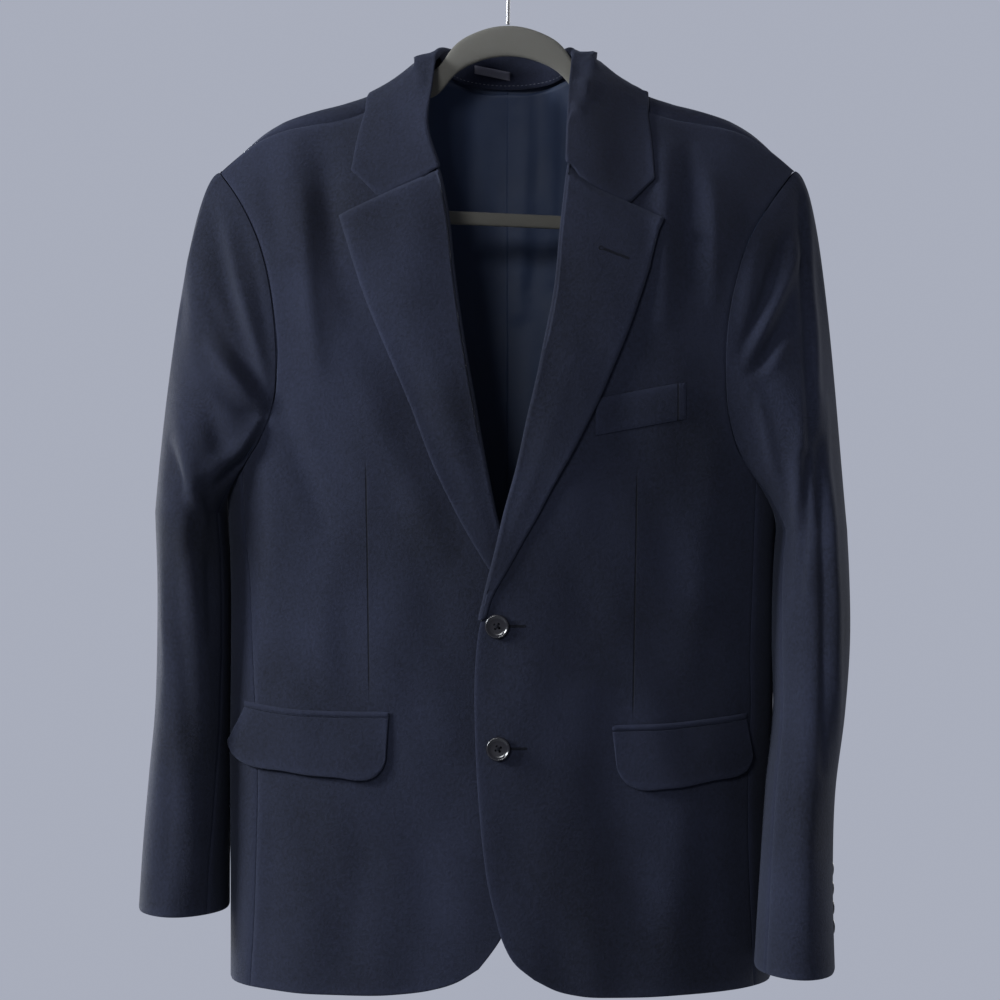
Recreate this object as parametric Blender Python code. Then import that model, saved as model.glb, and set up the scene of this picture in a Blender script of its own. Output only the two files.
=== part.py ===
"""A navy two-button blazer, buttoned, hanging on a slim hanger with a lower bar.

Metres, +Z up. The origin is the inside top of the hook, where it rests on a rail. The front
faces -Y, and +X is the wearer's left. Right and left in names are the wearer's.
Every cloth piece is a wall whose outer face lies on one shared body surface, or on a sleeve
surface that starts from the armhole, so that neighbours meet at their seams.
"""

import math

import bmesh
import bpy
import numpy as np
from mathutils import Vector, bvhtree

# ---------------------------------------------------------------- driving dimensions
CLOTH = 0.0018  # wall of the shell cloth with its canvas
DOUBLE_CLOTH = 0.0018  # wall of lapel, collar and flaps, two layers pressed together
THIN_CLOTH = 0.0012  # wall of welt, jets and lining
SEAM_HALF_GAP = 0.0002  # each piece stops this short of the seam line
SLEEVE_SEAM_HALF_GAP = 0.0003  # the same at the sleeve's own seams, which bend more
CLEAR = 0.0004  # air between layers that lie on each other

SECTION_POWER = 2.4  # roundness of the body's horizontal rings
RIDGE_RADIUS = 0.012  # rounding along the top of the shoulders
RIDGE_REACH = 0.130  # drop below the shoulder in which the body fills out
NECK_BACK = ((0.000, -0.1240), (0.022, -0.1230), (0.046, -0.1185))  # x and z, from the middle out
NECK_BACK_TURN = (0.885, -0.0135)  # last place of that curve: share of the neck point's x, way back
NECK_WIDTH = 0.056  # half width of the back neck's curve
NECK_FADE = 0.014  # way behind the ridge in which the neck's fullness begins
NECK_SHARE = 0.56  # how far back the back neck stands, as a share of the back's depth
HEM_Z = -0.887
BACK_HEM_RISE = 0.020  # the hem is this much higher at the centre back
CENTRE_LIFT = 0.0070  # the left front lies over the right front and its lapel
CENTRE_LIFT_WIDTH = 0.100
CENTRE_LIFT_Z = (-0.25, -0.42)  # heights between which that sets in
COLLAR_ROLL = 0.0033  # outer radius of the collar's roll
CLEAR_ROUNDS = 4
CELL_SHARES = (0.2, 0.5, 0.8)  # places inside a cell that are held clear too
SEAM_SIDE_GAP = 0.0010  # half the space between collar and lapel along the gorge

HANGER_THICK = 0.0060
HANGER_CLEAR = 0.0008  # air between the arms and the cloth over them
HOOK_WIRE = 0.0038
HOOK_INNER = 0.0190
HOOK_STEM_FOOT = -0.0809  # 0.3 mm above the hanger

# Half widths and depths of the body at heights. From the photograph's side edges; the
# depths from a chest girth of about 1.1 m.
BODY_COLUMNS = ("z", "half_right", "half_left", "front", "back")
BODY = (
    (-0.900, 0.2350, 0.2225, 0.0940, 0.0850),
    (-0.800, 0.2350, 0.2205, 0.0910, 0.0800),
    (-0.700, 0.2348, 0.2185, 0.0880, 0.0750),
    (-0.610, 0.2320, 0.2180, 0.0855, 0.0705),
    (-0.560, 0.2310, 0.2190, 0.0850, 0.0700),
    (-0.517, 0.2320, 0.2225, 0.0860, 0.0715),
    (-0.475, 0.2360, 0.2300, 0.0875, 0.0740),
    (-0.420, 0.2450, 0.2410, 0.0895, 0.0775),
    (-0.360, 0.2560, 0.2530, 0.0915, 0.0800),
    (-0.300, 0.2680, 0.2660, 0.0925, 0.0810),
    (-0.240, 0.2800, 0.2790, 0.0925, 0.0810),
    (-0.180, 0.2880, 0.2880, 0.0925, 0.0810),
    (-0.080, 0.2900, 0.2900, 0.0925, 0.0810),
)

# Top line of the shoulders over the hanger.
SHOULDER_COLUMNS = ("x", "z")
SHOULDER = (
    (0.000, -0.0960),
    (0.040, -0.0980),
    (0.058, -0.1035),
    (0.075, -0.1135),
    (0.095, -0.1285),
    (0.113, -0.1390),
    (0.140, -0.1485),
    (0.165, -0.1550),
    (0.195, -0.1660),
    (0.210, -0.1745),
    (0.226, -0.1870),
    (0.243, -0.2020),
    (0.260, -0.2180),
)

# Armholes, from the shoulder seam's end down the front, round under the arm and up the back:
# x and z of each point.
ARMHOLE_FRONT = {
    "right": (
        (0.2445, -0.2075),
        (0.2260, -0.2330),
        (0.2086, -0.2677),
        (0.1990, -0.3000),
        (0.1932, -0.3370),
        (0.1912, -0.3720),
        (0.1940, -0.4040),
        (0.2050, -0.4330),
        (0.2215, -0.4570),
    ),
    "left": (
        (0.2430, -0.2075),
        (0.2200, -0.2361),
        (0.1990, -0.2710),
        (0.1887, -0.3019),
        (0.1812, -0.3390),
        (0.1792, -0.3775),
        (0.1810, -0.4120),
        (0.1890, -0.4420),
        (0.2060, -0.4680),
    ),
}
ARMHOLE_BACK = (
    (0.2230, -0.4440),
    (0.2090, -0.4050),
    (0.2030, -0.3500),
    (0.2060, -0.2950),
    (0.2190, -0.2450),
    (0.2360, -0.2120),
)
UNDERARM_Z = {"right": -0.4690, "left": -0.4820}

# Roll line, front edge and hem corner, as seen from the front: x and z.
FRONT_EDGE = {
    "right": (
        (-0.0242, -0.8634),
        (-0.0145, -0.8513),
        (-0.0057, -0.8384),
        (0.0031, -0.8166),
        (0.0071, -0.7996),
        (0.0112, -0.7690),
        (0.0152, -0.7254),
        (0.0176, -0.6874),
        (0.0180, -0.6400),
        (0.0165, -0.6000),
        (0.0110, -0.5720),
        (0.0030, -0.5420),
        (-0.0102, -0.5041),
        (-0.0178, -0.4685),
        (-0.0276, -0.4142),
        (-0.0399, -0.3406),
        (-0.0459, -0.2954),
        (-0.0503, -0.2530),
        (-0.0560, -0.2228),
    ),
    "left": (
        (0.0202, -0.8707),
        (0.0040, -0.8566),
        (-0.0057, -0.8384),
        (-0.0121, -0.8166),
        (-0.0161, -0.7996),
        (-0.0202, -0.7690),
        (-0.0242, -0.7254),
        (-0.0266, -0.6874),
        (-0.0275, -0.6494),
        (-0.0266, -0.6171),
        (-0.0240, -0.5900),
        (-0.0190, -0.5700),
        (-0.0128, -0.5428),
        (-0.0032, -0.5017),
        (0.0062, -0.4685),
        (0.0179, -0.4182),
        (0.0293, -0.3651),
        (0.0393, -0.3135),
        (0.0446, -0.2608),
        (0.0508, -0.2090),
    ),
}
BREAK_Z = {"right": -0.5720, "left": -0.5824}
NECK_EDGE = {
    "right": ((-0.0720, -0.1747), (-0.0755, -0.1480)),
    "left": ((0.0560, -0.1740), (0.0660, -0.1480)),
}
NECK_POINT_X = {"right": -0.0760, "left": 0.0715}
HEM_CURVE = {
    "right": ((-0.0412, -0.8739), (-0.0640, -0.8810), (-0.0960, -0.8850), (-0.1400, -0.8868)),
    "left": ((0.0388, -0.8804), (0.0581, -0.8849), (0.0856, -0.8870), (0.1300, -0.8870)),
}
SIDE_SEAM_COLUMNS = ("z", "x")
SIDE_SEAM = {
    "right": (
        (-0.887, 0.2140),
        (-0.828, 0.2101),
        (-0.780, 0.2085),
        (-0.709, 0.2076),
        (-0.651, 0.2105),
        (-0.589, 0.2143),
        (-0.546, 0.2168),
        (-0.510, 0.2215),
        (-0.450, 0.2260),
    ),
    "left": (
        (-0.887, 0.2040),
        (-0.845, 0.2022),
        (-0.764, 0.1989),
        (-0.700, 0.1995),
        (-0.655, 0.2018),
        (-0.614, 0.2018),
        (-0.568, 0.2043),
        (-0.510, 0.2080),
        (-0.450, 0.2120),
    ),
}
BACK_SEAM = (
    (-0.887, 0.1720),
    (-0.800, 0.1680),
    (-0.700, 0.1640),
    (-0.600, 0.1650),
    (-0.500, 0.1820),
    (-0.440, 0.1990),
    (-0.400, 0.2050),
)
SHOULDER_SEAM_ENDS = 0.010  # the seam lies this far forward of the ridge at neck and sleeve
SHOULDER_SEAM_BOW = 0.100  # and bows further forward between

# Largest folds, as soft ridges (+) and troughs (-): x and z of the line's three points in the
# front view, then the fold's half width and its rise from the cloth.
FOLD_FADE = 0.12  # how faint a fold is at its ends
FOLD_FADE_POWER = 0.8
FOLD_OVER = (0.010, 0.040)  # way over the shoulder in which the front's folds set in
FOLD_FACING = (0.15, 0.60)  # how squarely a sleeve faces the front, or back, where they set in
FOLD_START_ROWS = 2.0  # rows from the armhole in which the sleeve's folds set in
BODY_FOLDS_FRONT = (
    (-0.185, -0.200, -0.172, -0.275, -0.160, -0.360, 0.016, 0.0045),
    (-0.160, -0.190, -0.146, -0.250, -0.126, -0.315, 0.013, -0.0040),
    (-0.202, -0.222, -0.195, -0.245, -0.190, -0.270, 0.009, -0.0025),
    (-0.160, -0.350, -0.110, -0.440, -0.030, -0.560, 0.034, 0.0035),
    (-0.148, -0.545, -0.150, -0.590, -0.146, -0.640, 0.011, 0.0018),
    (-0.166, -0.760, -0.168, -0.820, -0.165, -0.880, 0.022, 0.0040),
    (0.130, -0.180, 0.132, -0.230, 0.128, -0.330, 0.014, 0.0040),
    (0.139, -0.250, 0.150, -0.280, 0.158, -0.320, 0.011, -0.0035),
    (0.170, -0.220, 0.174, -0.250, 0.172, -0.290, 0.012, 0.0030),
    (0.140, -0.740, 0.134, -0.800, 0.132, -0.880, 0.026, 0.0045),
    (0.060, -0.640, 0.085, -0.700, 0.095, -0.800, 0.030, -0.0025),
)
BODY_FOLDS_BACK = (
    (-0.120, -0.190, -0.135, -0.300, -0.150, -0.400, 0.022, 0.0040),
    (0.115, -0.190, 0.138, -0.310, 0.150, -0.410, 0.022, 0.0038),
    (-0.085, -0.260, -0.100, -0.380, -0.090, -0.520, 0.026, -0.0035),
    (0.080, -0.280, 0.094, -0.390, 0.100, -0.500, 0.026, -0.0035),
    (-0.110, -0.620, -0.100, -0.740, -0.105, -0.880, 0.030, 0.0050),
    (0.100, -0.640, 0.112, -0.760, 0.110, -0.880, 0.030, 0.0050),
)

# Sleeve rings below the armhole, from bicep to cuff: centre, half sizes across and fore-aft.
SLEEVE_COLUMNS = ("z", "x", "y", "across", "deep", "fore_seam", "hind_seam")
SLEEVE = {
    "right": (
        (-0.830, -0.2752, 0.0020, 0.0380, 0.0520, 132.0, 318.0),
        (-0.780, -0.2735, 0.0030, 0.0365, 0.0545, 134.0, 318.0),
        (-0.720, -0.2700, 0.0050, 0.0350, 0.0580, 138.0, 316.0),
        (-0.660, -0.2672, 0.0080, 0.0325, 0.0620, 144.0, 314.0),
        (-0.600, -0.2665, 0.0090, 0.0315, 0.0640, 148.0, 312.0),
        (-0.550, -0.2665, 0.0070, 0.0310, 0.0655, 150.0, 310.0),
        (-0.495, -0.2688, 0.0040, 0.0300, 0.0650, 150.0, 308.0),
    ),
    "left": (
        (-0.864, 0.2326, -0.0765, 0.0322, 0.0525, 148.0, 336.0),
        (-0.830, 0.2333, -0.0750, 0.0305, 0.0540, 148.0, 334.0),
        (-0.780, 0.2352, -0.0710, 0.0285, 0.0565, 150.0, 330.0),
        (-0.720, 0.2395, -0.0620, 0.0275, 0.0595, 152.0, 326.0),
        (-0.660, 0.2487, -0.0460, 0.0285, 0.0620, 154.0, 322.0),
        (-0.600, 0.2525, -0.0310, 0.0315, 0.0635, 154.0, 318.0),
        (-0.550, 0.2540, -0.0200, 0.0312, 0.0645, 154.0, 314.0),
        (-0.510, 0.2552, -0.0130, 0.0292, 0.0640, 152.0, 310.0),
    ),
}
SLEEVE_FORE_SEAM = 0.42  # where the two seams leave the armhole, as shares of its length
SLEEVE_HIND_SEAM = 0.78
SLEEVE_HEAD_SWELL = 0.020
SLEEVE_HEAD_LEAST = 0.004  # and at least by this much under the arm
SLEEVE_HEAD_SHARE = 0.3  # reach of the head's bend, as a share of its length
UNDERARM_ASIDE = 0.35  # how far aside the sleeve leaves the armhole's bottom
LEAVE_DOWN = 1.15  # and how far down
SLEEVE_START = 0.00044  # the sleeve starts this far out of the armhole
SLEEVE_START_LIFT = 0.0004
SLEEVE_START_ASIDE = 0.0003
BICEP_STEP = 0.020  # the arm's own line is taken over this drop
ARRIVE_STRAIGHT = 0.50  # how directly the head falls to the bicep, against the arm's own line
SLEEVE_FOLDS = {
    "right": (
        (-0.246, -0.250, -0.232, -0.320, -0.203, -0.392, 0.0090, -0.0060),
        (-0.240, -0.235, -0.222, -0.300, -0.200, -0.376, 0.0080, 0.0035),
        (-0.243, -0.360, -0.226, -0.385, -0.206, -0.405, 0.0080, 0.0040),
        (-0.203, -0.410, -0.222, -0.440, -0.246, -0.465, 0.0090, 0.0045),
        (-0.252, -0.405, -0.240, -0.430, -0.236, -0.450, 0.0110, -0.0060),
        (-0.290, -0.445, -0.280, -0.465, -0.268, -0.480, 0.0090, -0.0040),
        (-0.276, -0.520, -0.272, -0.590, -0.262, -0.680, 0.0110, -0.0050),
    ),
    "left": (
        (0.225, -0.280, 0.212, -0.325, 0.196, -0.360, 0.0090, -0.0050),
        (0.240, -0.270, 0.218, -0.325, 0.198, -0.370, 0.0080, 0.0035),
        (0.232, -0.320, 0.214, -0.360, 0.206, -0.385, 0.0080, -0.0045),
        (0.222, -0.455, 0.226, -0.490, 0.232, -0.530, 0.0100, -0.0040),
        (0.246, -0.240, 0.248, -0.350, 0.246, -0.440, 0.0080, 0.0035),
    ),
}
SLEEVE_FOLDS_BACK = (
    (0.262, -0.300, 0.246, -0.380, 0.228, -0.450, 0.0110, -0.0050),
    (0.285, -0.560, 0.268, -0.600, 0.250, -0.630, 0.0120, -0.0045),
    (0.250, -0.590, 0.268, -0.640, 0.286, -0.680, 0.0120, 0.0040),
)

# Collar, by stations from the right front end round the back to the left front end.
COLLAR_COLUMNS = (
    "place",
    "seam_x", "seam_y", "seam_z",
    "roll_x", "roll_y", "roll_z",
    "edge_x", "edge_z", "edge_back",
)
COLLAR = (
    (0.00, -0.0590, -0.0490, -0.2075, -0.0563, -0.0580, -0.2112, -0.1300, -0.2115, 0.0),
    (0.10, -0.0685, -0.0350, -0.1720, -0.0668, -0.0436, -0.1747, -0.1262, -0.1850, 0.0),
    (0.20, -0.0675, -0.0180, -0.1360, -0.0640, -0.0270, -0.1386, -0.1205, -0.1610, 0.0),
    (0.29, -0.0597, 0.0020, -0.1072, -0.0585, 0.0020, -0.1022, -0.1145, -0.1430, 0.5),
    (0.38, -0.0455, 0.0330, -0.1210, -0.0435, 0.0340, -0.0950, -0.0850, -0.1480, 1.0),
    (0.50, 0.0000, 0.0475, -0.1270, 0.0000, 0.0485, -0.0930, 0.0000, -0.1500, 1.0),
    (0.62, 0.0445, 0.0330, -0.1210, 0.0425, 0.0340, -0.0955, 0.0840, -0.1500, 1.0),
    (0.71, 0.0550, 0.0020, -0.1062, 0.0535, 0.0020, -0.1020, 0.1145, -0.1465, 0.5),
    (0.80, 0.0590, -0.0180, -0.1360, 0.0510, -0.0270, -0.1386, 0.1175, -0.1650, 0.0),
    (0.90, 0.0530, -0.0350, -0.1720, 0.0490, -0.0440, -0.1747, 0.1200, -0.1900, 0.0),
    (1.00, 0.0505, -0.0490, -0.2030, 0.0476, -0.0580, -0.2068, 0.1217, -0.2194, 0.0),
)
# The gorge seam between collar and lapel, from the roll to the notch.
GORGE = {
    "right": ((-0.0563, -0.2128), (-0.0725, -0.2202), (-0.1054, -0.2350)),
    "left": ((0.0476, -0.2088), (0.0700, -0.2280), (0.0979, -0.2409)),
}
GORGE_SHARES = (0.0, 0.20, 0.45, 0.72, 1.0)

# Lapels: outer edges from the bottom up to the point beside the notch.
LAPEL_EDGE = {
    "right": (
        (-0.0020, -0.5620),
        (-0.0165, -0.5397),
        (-0.0585, -0.4637),
        (-0.0809, -0.4065),
        (-0.0988, -0.3633),
        (-0.1151, -0.3234),
        (-0.1383, -0.2500),
    ),
    "left": (
        (-0.0180, -0.5795),
        (-0.0141, -0.5655),
        (-0.0016, -0.5412),
        (0.0182, -0.5065),
        (0.0416, -0.4637),
        (0.0787, -0.3902),
        (0.0901, -0.3641),
        (0.1105, -0.3096),
        (0.1279, -0.2531),
    ),
}
LAPEL_TIP_STEPS = (0.33, 0.66, 1.0)  # from the notch to the lapel's point
COLLAR_LIFT = 0.0006  # the collar's fall stands this much off the cloth
LAPEL_RISE = 0.0026  # the lapel's free edge stands this much off the front
LAPEL_RETURN = 0.0140  # how far the facing turns in behind the roll

# Flaps: x positions of the ends, heights of top and bottom, and how far the end stands off.
FLAP_COLUMNS = ("share", "top_x", "top_z", "low_x", "low_z", "off")
FLAP = {
    "right": (
        (0.00, -0.0968, -0.6612, -0.0990, -0.7010, 0.0010),
        (0.06, -0.1040, -0.6614, -0.1060, -0.7075, 0.0014),
        (0.35, -0.1420, -0.6618, -0.1420, -0.7098, 0.0022),
        (0.65, -0.1780, -0.6608, -0.1800, -0.7065, 0.0022),
        (0.94, -0.2110, -0.6572, -0.2210, -0.6985, 0.0050),
        (1.00, -0.2180, -0.6560, -0.2270, -0.6925, 0.0070),
    ),
    "left": (
        (0.00, 0.0842, -0.6725, 0.0872, -0.7070, 0.0010),
        (0.06, 0.0910, -0.6723, 0.0950, -0.7140, 0.0014),
        (0.35, 0.1290, -0.6716, 0.1300, -0.7190, 0.0022),
        (0.65, 0.1620, -0.6690, 0.1650, -0.7140, 0.0022),
        (0.94, 0.1900, -0.6660, 0.1950, -0.7070, 0.0024),
        (1.00, 0.1960, -0.6650, 0.2000, -0.7020, 0.0024),
    ),
}
JET_HEIGHT = 0.0050
POCKET_CLEAR = 0.0008
WELT = {"low_left": (0.0700, -0.4325), "low_right": (0.1447, -0.4187),
        "top_left": (0.0700, -0.4025), "top_right": (0.1447, -0.3882)}

FRONT_BUTTON_RADIUS = 0.0098
FRONT_BUTTON_THICK = 0.0036
FRONT_BUTTONS = (("front_button_upper", -0.0092, -0.5866), ("front_button_lower", -0.0081, -0.6852))
BUTTON_SHANK = 0.0003  # air under a button
CUFF_BUTTON_RADIUS = 0.0075
CUFF_BUTTON_THICK = 0.0030
FRONT_BUTTON_SEGMENTS = 24
CUFF_BUTTON_SEGMENTS = 16
CUFF_BUTTON_HEIGHTS = (0.030, 0.0455, 0.061, 0.0765)  # above the cuff's edge
CUFF_BUTTON_ANGLE = {"right": -34.0, "left": -14.0}

# Hanger outline: top line from the neck to the arm's end, and the width below it.
HANGER_COLUMNS = ("x", "top_z", "width")
HANGER = (
    (0.0000, -0.0808, 0.0273),
    (0.0140, -0.0822, 0.0271),
    (0.0270, -0.0865, 0.0268),
    (0.0410, -0.0935, 0.0265),
    (0.0490, -0.1008, 0.0265),
    (0.0540, -0.1135, 0.0240),
    (0.0620, -0.1190, 0.0235),
    (0.0750, -0.1230, 0.0230),
    (0.0950, -0.1335, 0.0215),
    (0.1130, -0.1440, 0.0200),
    (0.1400, -0.1535, 0.0180),
    (0.1650, -0.1600, 0.0170),
    (0.1950, -0.1712, 0.0165),
    (0.2120, -0.1815, 0.0165),
)
HANGER_UPRIGHT_TO = 0.190  # sections stand upright to here and turn with the arm's end beyond
HANGER_UNDER_FROM = 0.080  # beyond this the arms follow the cloth's underside
HANGER_BAR_Z = -0.2469
HANGER_BAR_TILT = math.radians(2.6)
HANGER_BAR_WIDTH = 0.0118
HANGER_BAR_HALF = 0.175
HANGER_ARM = (0.010, 0.2125)  # the arms' first and last section
HANGER_ARM_SECTIONS = 22
HANGER_BAR_SECTIONS = 9
HANGER_END_SECTIONS = 8
HANGER_BENDS = ((0.2205, -0.0090), (0.2220, -0.0230), (0.2140, -0.0390))  # x, drop from the tip
HANGER_LAST_BEND = (0.1960, 0.0035)  # x, rise over the bar's end
HANGER_SQUARENESS = 0.6  # power of the section's outline
HANGER_AROUND = 10
HOOK_AROUND = 10
HOOK_STEM = ((0.0, -0.0700), (0.0, -0.0600), (0.0010, -0.0525), (0.0050, -0.0450), (0.0110, -0.0378))
HOOK_TURN = (-42, 201, 11)  # degrees, from the stem's side round to the free end, and the step


# Colour, roughness and metallic of each finish.
FINISHES = {
    "wool": ((0.020, 0.024, 0.040), 0.8, 0.0),
    "satin": ((0.016, 0.019, 0.036), 0.45, 0.0),
    "horn": ((0.020, 0.018, 0.020), 0.25, 0.0),
    "tape": ((0.24, 0.22, 0.26), 0.8, 0.0),
    "flock": ((0.105, 0.095, 0.080), 0.9, 0.0),
    "steel": ((0.10, 0.10, 0.11), 0.35, 1.0),
}


# ---------------------------------------------------------------- curves and tables
def smooth(knots, values, at):
    """Smooth curve through the values at the knots, read at any places."""
    knots = np.asarray(knots, float)
    values = np.asarray(values, float)
    at = np.clip(np.asarray(at, float), knots[0], knots[-1])
    slopes = np.gradient(values, knots)
    i = np.clip(np.searchsorted(knots, at, side="right") - 1, 0, len(knots) - 2)
    span = knots[i + 1] - knots[i]
    t = (at - knots[i]) / span
    return (
        values[i] * (2 * t**3 - 3 * t**2 + 1)
        + slopes[i] * span * (t**3 - 2 * t**2 + t)
        + values[i + 1] * (3 * t**2 - 2 * t**3)
        + slopes[i + 1] * span * (t**3 - t**2)
    )


def column(table, columns, name, at):
    """A table's named column, read smoothly along its first column."""
    rows = np.array(table)
    return smooth(rows[:, 0], rows[:, columns.index(name)], at)


def curve_through(points, shares):
    """Points of a smooth curve through the given ones, at shares of its length."""
    points = np.array(points, float)
    steps = np.linalg.norm(np.diff(points, axis=0), axis=1)
    places = np.concatenate([[0.0], np.cumsum(steps)])
    fine_at = np.linspace(0, places[-1], 40 * len(points))
    fine = np.stack([smooth(places, points[:, k], fine_at) for k in range(points.shape[1])], 1)
    run = np.concatenate([[0.0], np.cumsum(np.linalg.norm(np.diff(fine, axis=0), axis=1))])
    wanted = np.asarray(shares, float) * run[-1]
    return np.stack([np.interp(wanted, run, fine[:, k]) for k in range(points.shape[1])], 1)


def step_between(low, high, at):
    """Smooth rise from 0 at low to 1 at high."""
    t = np.clip((np.asarray(at, float) - low) / (high - low), 0, 1)
    return t * t * (3 - 2 * t)


def fold_height(x, z, folds):
    """Sum of the folds' heights at places of the front view."""
    total = np.zeros(np.broadcast(x, z).shape)
    for x0, z0, x1, z1, x2, z2, width, height in folds:
        t = np.linspace(0, 1, 9)
        line_x = (1 - t) ** 2 * x0 + 2 * t * (1 - t) * (2 * x1 - (x0 + x2) / 2) + t**2 * x2
        line_z = (1 - t) ** 2 * z0 + 2 * t * (1 - t) * (2 * z1 - (z0 + z2) / 2) + t**2 * z2
        best = np.full(total.shape, 1e9)
        along = np.zeros(total.shape)
        for k in range(8):
            dx = line_x[k + 1] - line_x[k]
            dz = line_z[k + 1] - line_z[k]
            share = ((x - line_x[k]) * dx + (z - line_z[k]) * dz) / (dx * dx + dz * dz)
            share = np.clip(share, 0, 1)
            away = (x - line_x[k] - share * dx) ** 2 + (z - line_z[k] - share * dz) ** 2
            along = np.where(away < best, (k + share) / 8, along)
            best = np.minimum(best, away)
        fade = np.sin(np.pi * (FOLD_FADE + (1 - 2 * FOLD_FADE) * along)) ** FOLD_FADE_POWER
        total = total + height * fade * np.exp(-best / width**2)
    return total


# ---------------------------------------------------------------- the body's surface
def shoulder_z(x):
    return column(SHOULDER, SHOULDER_COLUMNS, "z", np.abs(x))


def half_width(z, x_sign):
    right = column(BODY, BODY_COLUMNS, "half_right", z)
    left = column(BODY, BODY_COLUMNS, "half_left", z)
    return np.where(x_sign < 0, right, left)


def fill(drop):
    """How far the body has filled out at a drop below the shoulder line."""
    run = np.sqrt(np.maximum(drop, 0) ** 2 + 2 * RIDGE_RADIUS * np.maximum(drop, 0))
    return 1 - np.exp(-run / RIDGE_REACH)


def round_share(x, z):
    """The ring's depth at x as a share of its depth at the middle."""
    reach = np.clip(np.abs(x) / half_width(z, np.sign(x)), 0, 1)
    return (1 - reach**SECTION_POWER) ** (1 / SECTION_POWER)


def depth_front(x, z, share):
    base = column(BODY, BODY_COLUMNS, "front", z) * share * fill(shoulder_z(x) - z)
    return base + fold_height(x, z, BODY_FOLDS_FRONT) * np.sqrt(np.clip(share, 0, 1))


def depth_back(x, z, share):
    full = column(BODY, BODY_COLUMNS, "back", z)
    drop = np.maximum(shoulder_z(x) - z, 0)
    filled = fill(drop)
    behind = 1 - np.exp(-(drop**2 + 2 * RIDGE_RADIUS * drop) / NECK_FADE**2)
    neck = NECK_SHARE * behind * np.exp(-((np.abs(x) / NECK_WIDTH) ** 4))
    filled = filled + (1 - filled) * neck
    return full * share * filled + fold_height(x, z, BODY_FOLDS_BACK) * np.sqrt(
        np.clip(share, 0, 1)
    )


def ring_point(angle, z):
    """Body point at a ring angle (0 front centre, negative on the right side) and height."""
    angle = np.asarray(angle, float)
    z = np.asarray(z, float)
    angle, z = np.broadcast_arrays(angle, z)
    side = np.where(angle < 0, -1.0, 1.0)
    x = side * half_width(z, side) * np.abs(np.sin(angle)) ** (2 / SECTION_POWER)
    share = np.abs(np.cos(angle)) ** (2 / SECTION_POWER)
    y = np.where(np.cos(angle) >= 0, -depth_front(x, z, share), depth_back(x, z, share))
    return np.stack([x, y, z], -1)


def ring_angle(x, z, back=False):
    """Ring angle of the body point that shows at x, z."""
    reach = np.clip(np.abs(x) / half_width(z, np.sign(x)), 0, 1)
    angle = np.arcsin(reach ** (SECTION_POWER / 2))
    angle = np.pi - angle if back else angle
    return np.where(np.asarray(x) < 0, -angle, angle)


def over_point(x, over):
    """Body point at x and a way over the shoulder: positive to the front, negative behind."""
    x = np.asarray(x, float)
    over = np.asarray(over, float)
    x, over = np.broadcast_arrays(x, over)
    z = shoulder_z(x) - np.sqrt(over**2 + RIDGE_RADIUS**2) + RIDGE_RADIUS
    share = round_share(x, z)
    front = column(BODY, BODY_COLUMNS, "front", z) * share * (1 - np.exp(-over / RIDGE_REACH))
    front = front + fold_height(x, z, BODY_FOLDS_FRONT) * step_between(*FOLD_OVER, over)
    y = np.where(over > 0, -front, depth_back(x, z, share))
    return np.stack([x, y, z], -1)


def over_way(x, z):
    """The way behind the shoulder at which the body reaches height z."""
    drop = np.maximum(shoulder_z(x) - z, 0)
    return -np.sqrt(drop**2 + 2 * RIDGE_RADIUS * drop)


ANGLE_STEP = 0.01  # steps on which normals are measured
WAY_STEP = 0.002


def normal_of(surface, a, b, step_a, step_b):
    """Outward unit normals of a surface of two parameters."""
    along_a = surface(a + step_a, b) - surface(a - step_a, b)
    along_b = surface(a, b + step_b) - surface(a, b - step_b)
    normal = np.cross(along_a, along_b)
    return normal / np.maximum(np.linalg.norm(normal, axis=-1, keepdims=True), 1e-12)


def ring_out(angle, z, out):
    """Body point moved out of the surface."""
    point = ring_point(angle, z)
    normal = normal_of(ring_point, angle, z, ANGLE_STEP, WAY_STEP)
    return point + normal * np.asarray(out, float)[..., None]


def front_out(x, z, out):
    """Front point at x, z of the front view, moved out."""
    return ring_out(ring_angle(x, z), z, out)


def centre_lift(x, z):
    """Extra height of the left front where it lies over the right one."""
    return CENTRE_LIFT * step_between(CENTRE_LIFT_WIDTH, 0.0, x) * step_between(*CENTRE_LIFT_Z, z)


# ---------------------------------------------------------------- grids and walls
def coons(bottom, top, left, right):
    """Grid between four boundary rows; left and right run up, bottom and top run across."""
    across = np.linalg.norm(np.diff(bottom, axis=0), axis=1) + np.linalg.norm(
        np.diff(top, axis=0), axis=1
    )
    upward = np.linalg.norm(np.diff(left, axis=0), axis=1) + np.linalg.norm(
        np.diff(right, axis=0), axis=1
    )
    u = np.concatenate([[0], np.cumsum(across)]) / across.sum()
    v = np.concatenate([[0], np.cumsum(upward)]) / upward.sum()
    u = u[None, :, None]
    v = v[:, None, None]
    corners = (
        (1 - u) * (1 - v) * bottom[0]
        + u * (1 - v) * bottom[-1]
        + (1 - u) * v * top[0]
        + u * v * top[-1]
    )
    return (
        (1 - v) * bottom[None]
        + v * top[None]
        + (1 - u) * left[:, None]
        + u * right[:, None]
        - corners
    )


def pull_in(grid, amounts):
    """Move a grid's edge rows in along the surface; amounts for bottom, top, left, right."""
    grid = grid.copy()
    rows = ((0, 1), (-1, -2))
    for (edge, inner), amount in zip(rows, amounts[:2]):
        if amount:
            way = grid[inner] - grid[edge]
            way = way / np.maximum(np.linalg.norm(way, axis=-1, keepdims=True), 1e-9)
            grid[edge] = grid[edge] + way * amount
    for (edge, inner), amount in zip(rows, amounts[2:]):
        if amount:
            way = grid[:, inner] - grid[:, edge]
            way = way / np.maximum(np.linalg.norm(way, axis=-1, keepdims=True), 1e-9)
            grid[:, edge] = grid[:, edge] + way * amount
    return grid


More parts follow.
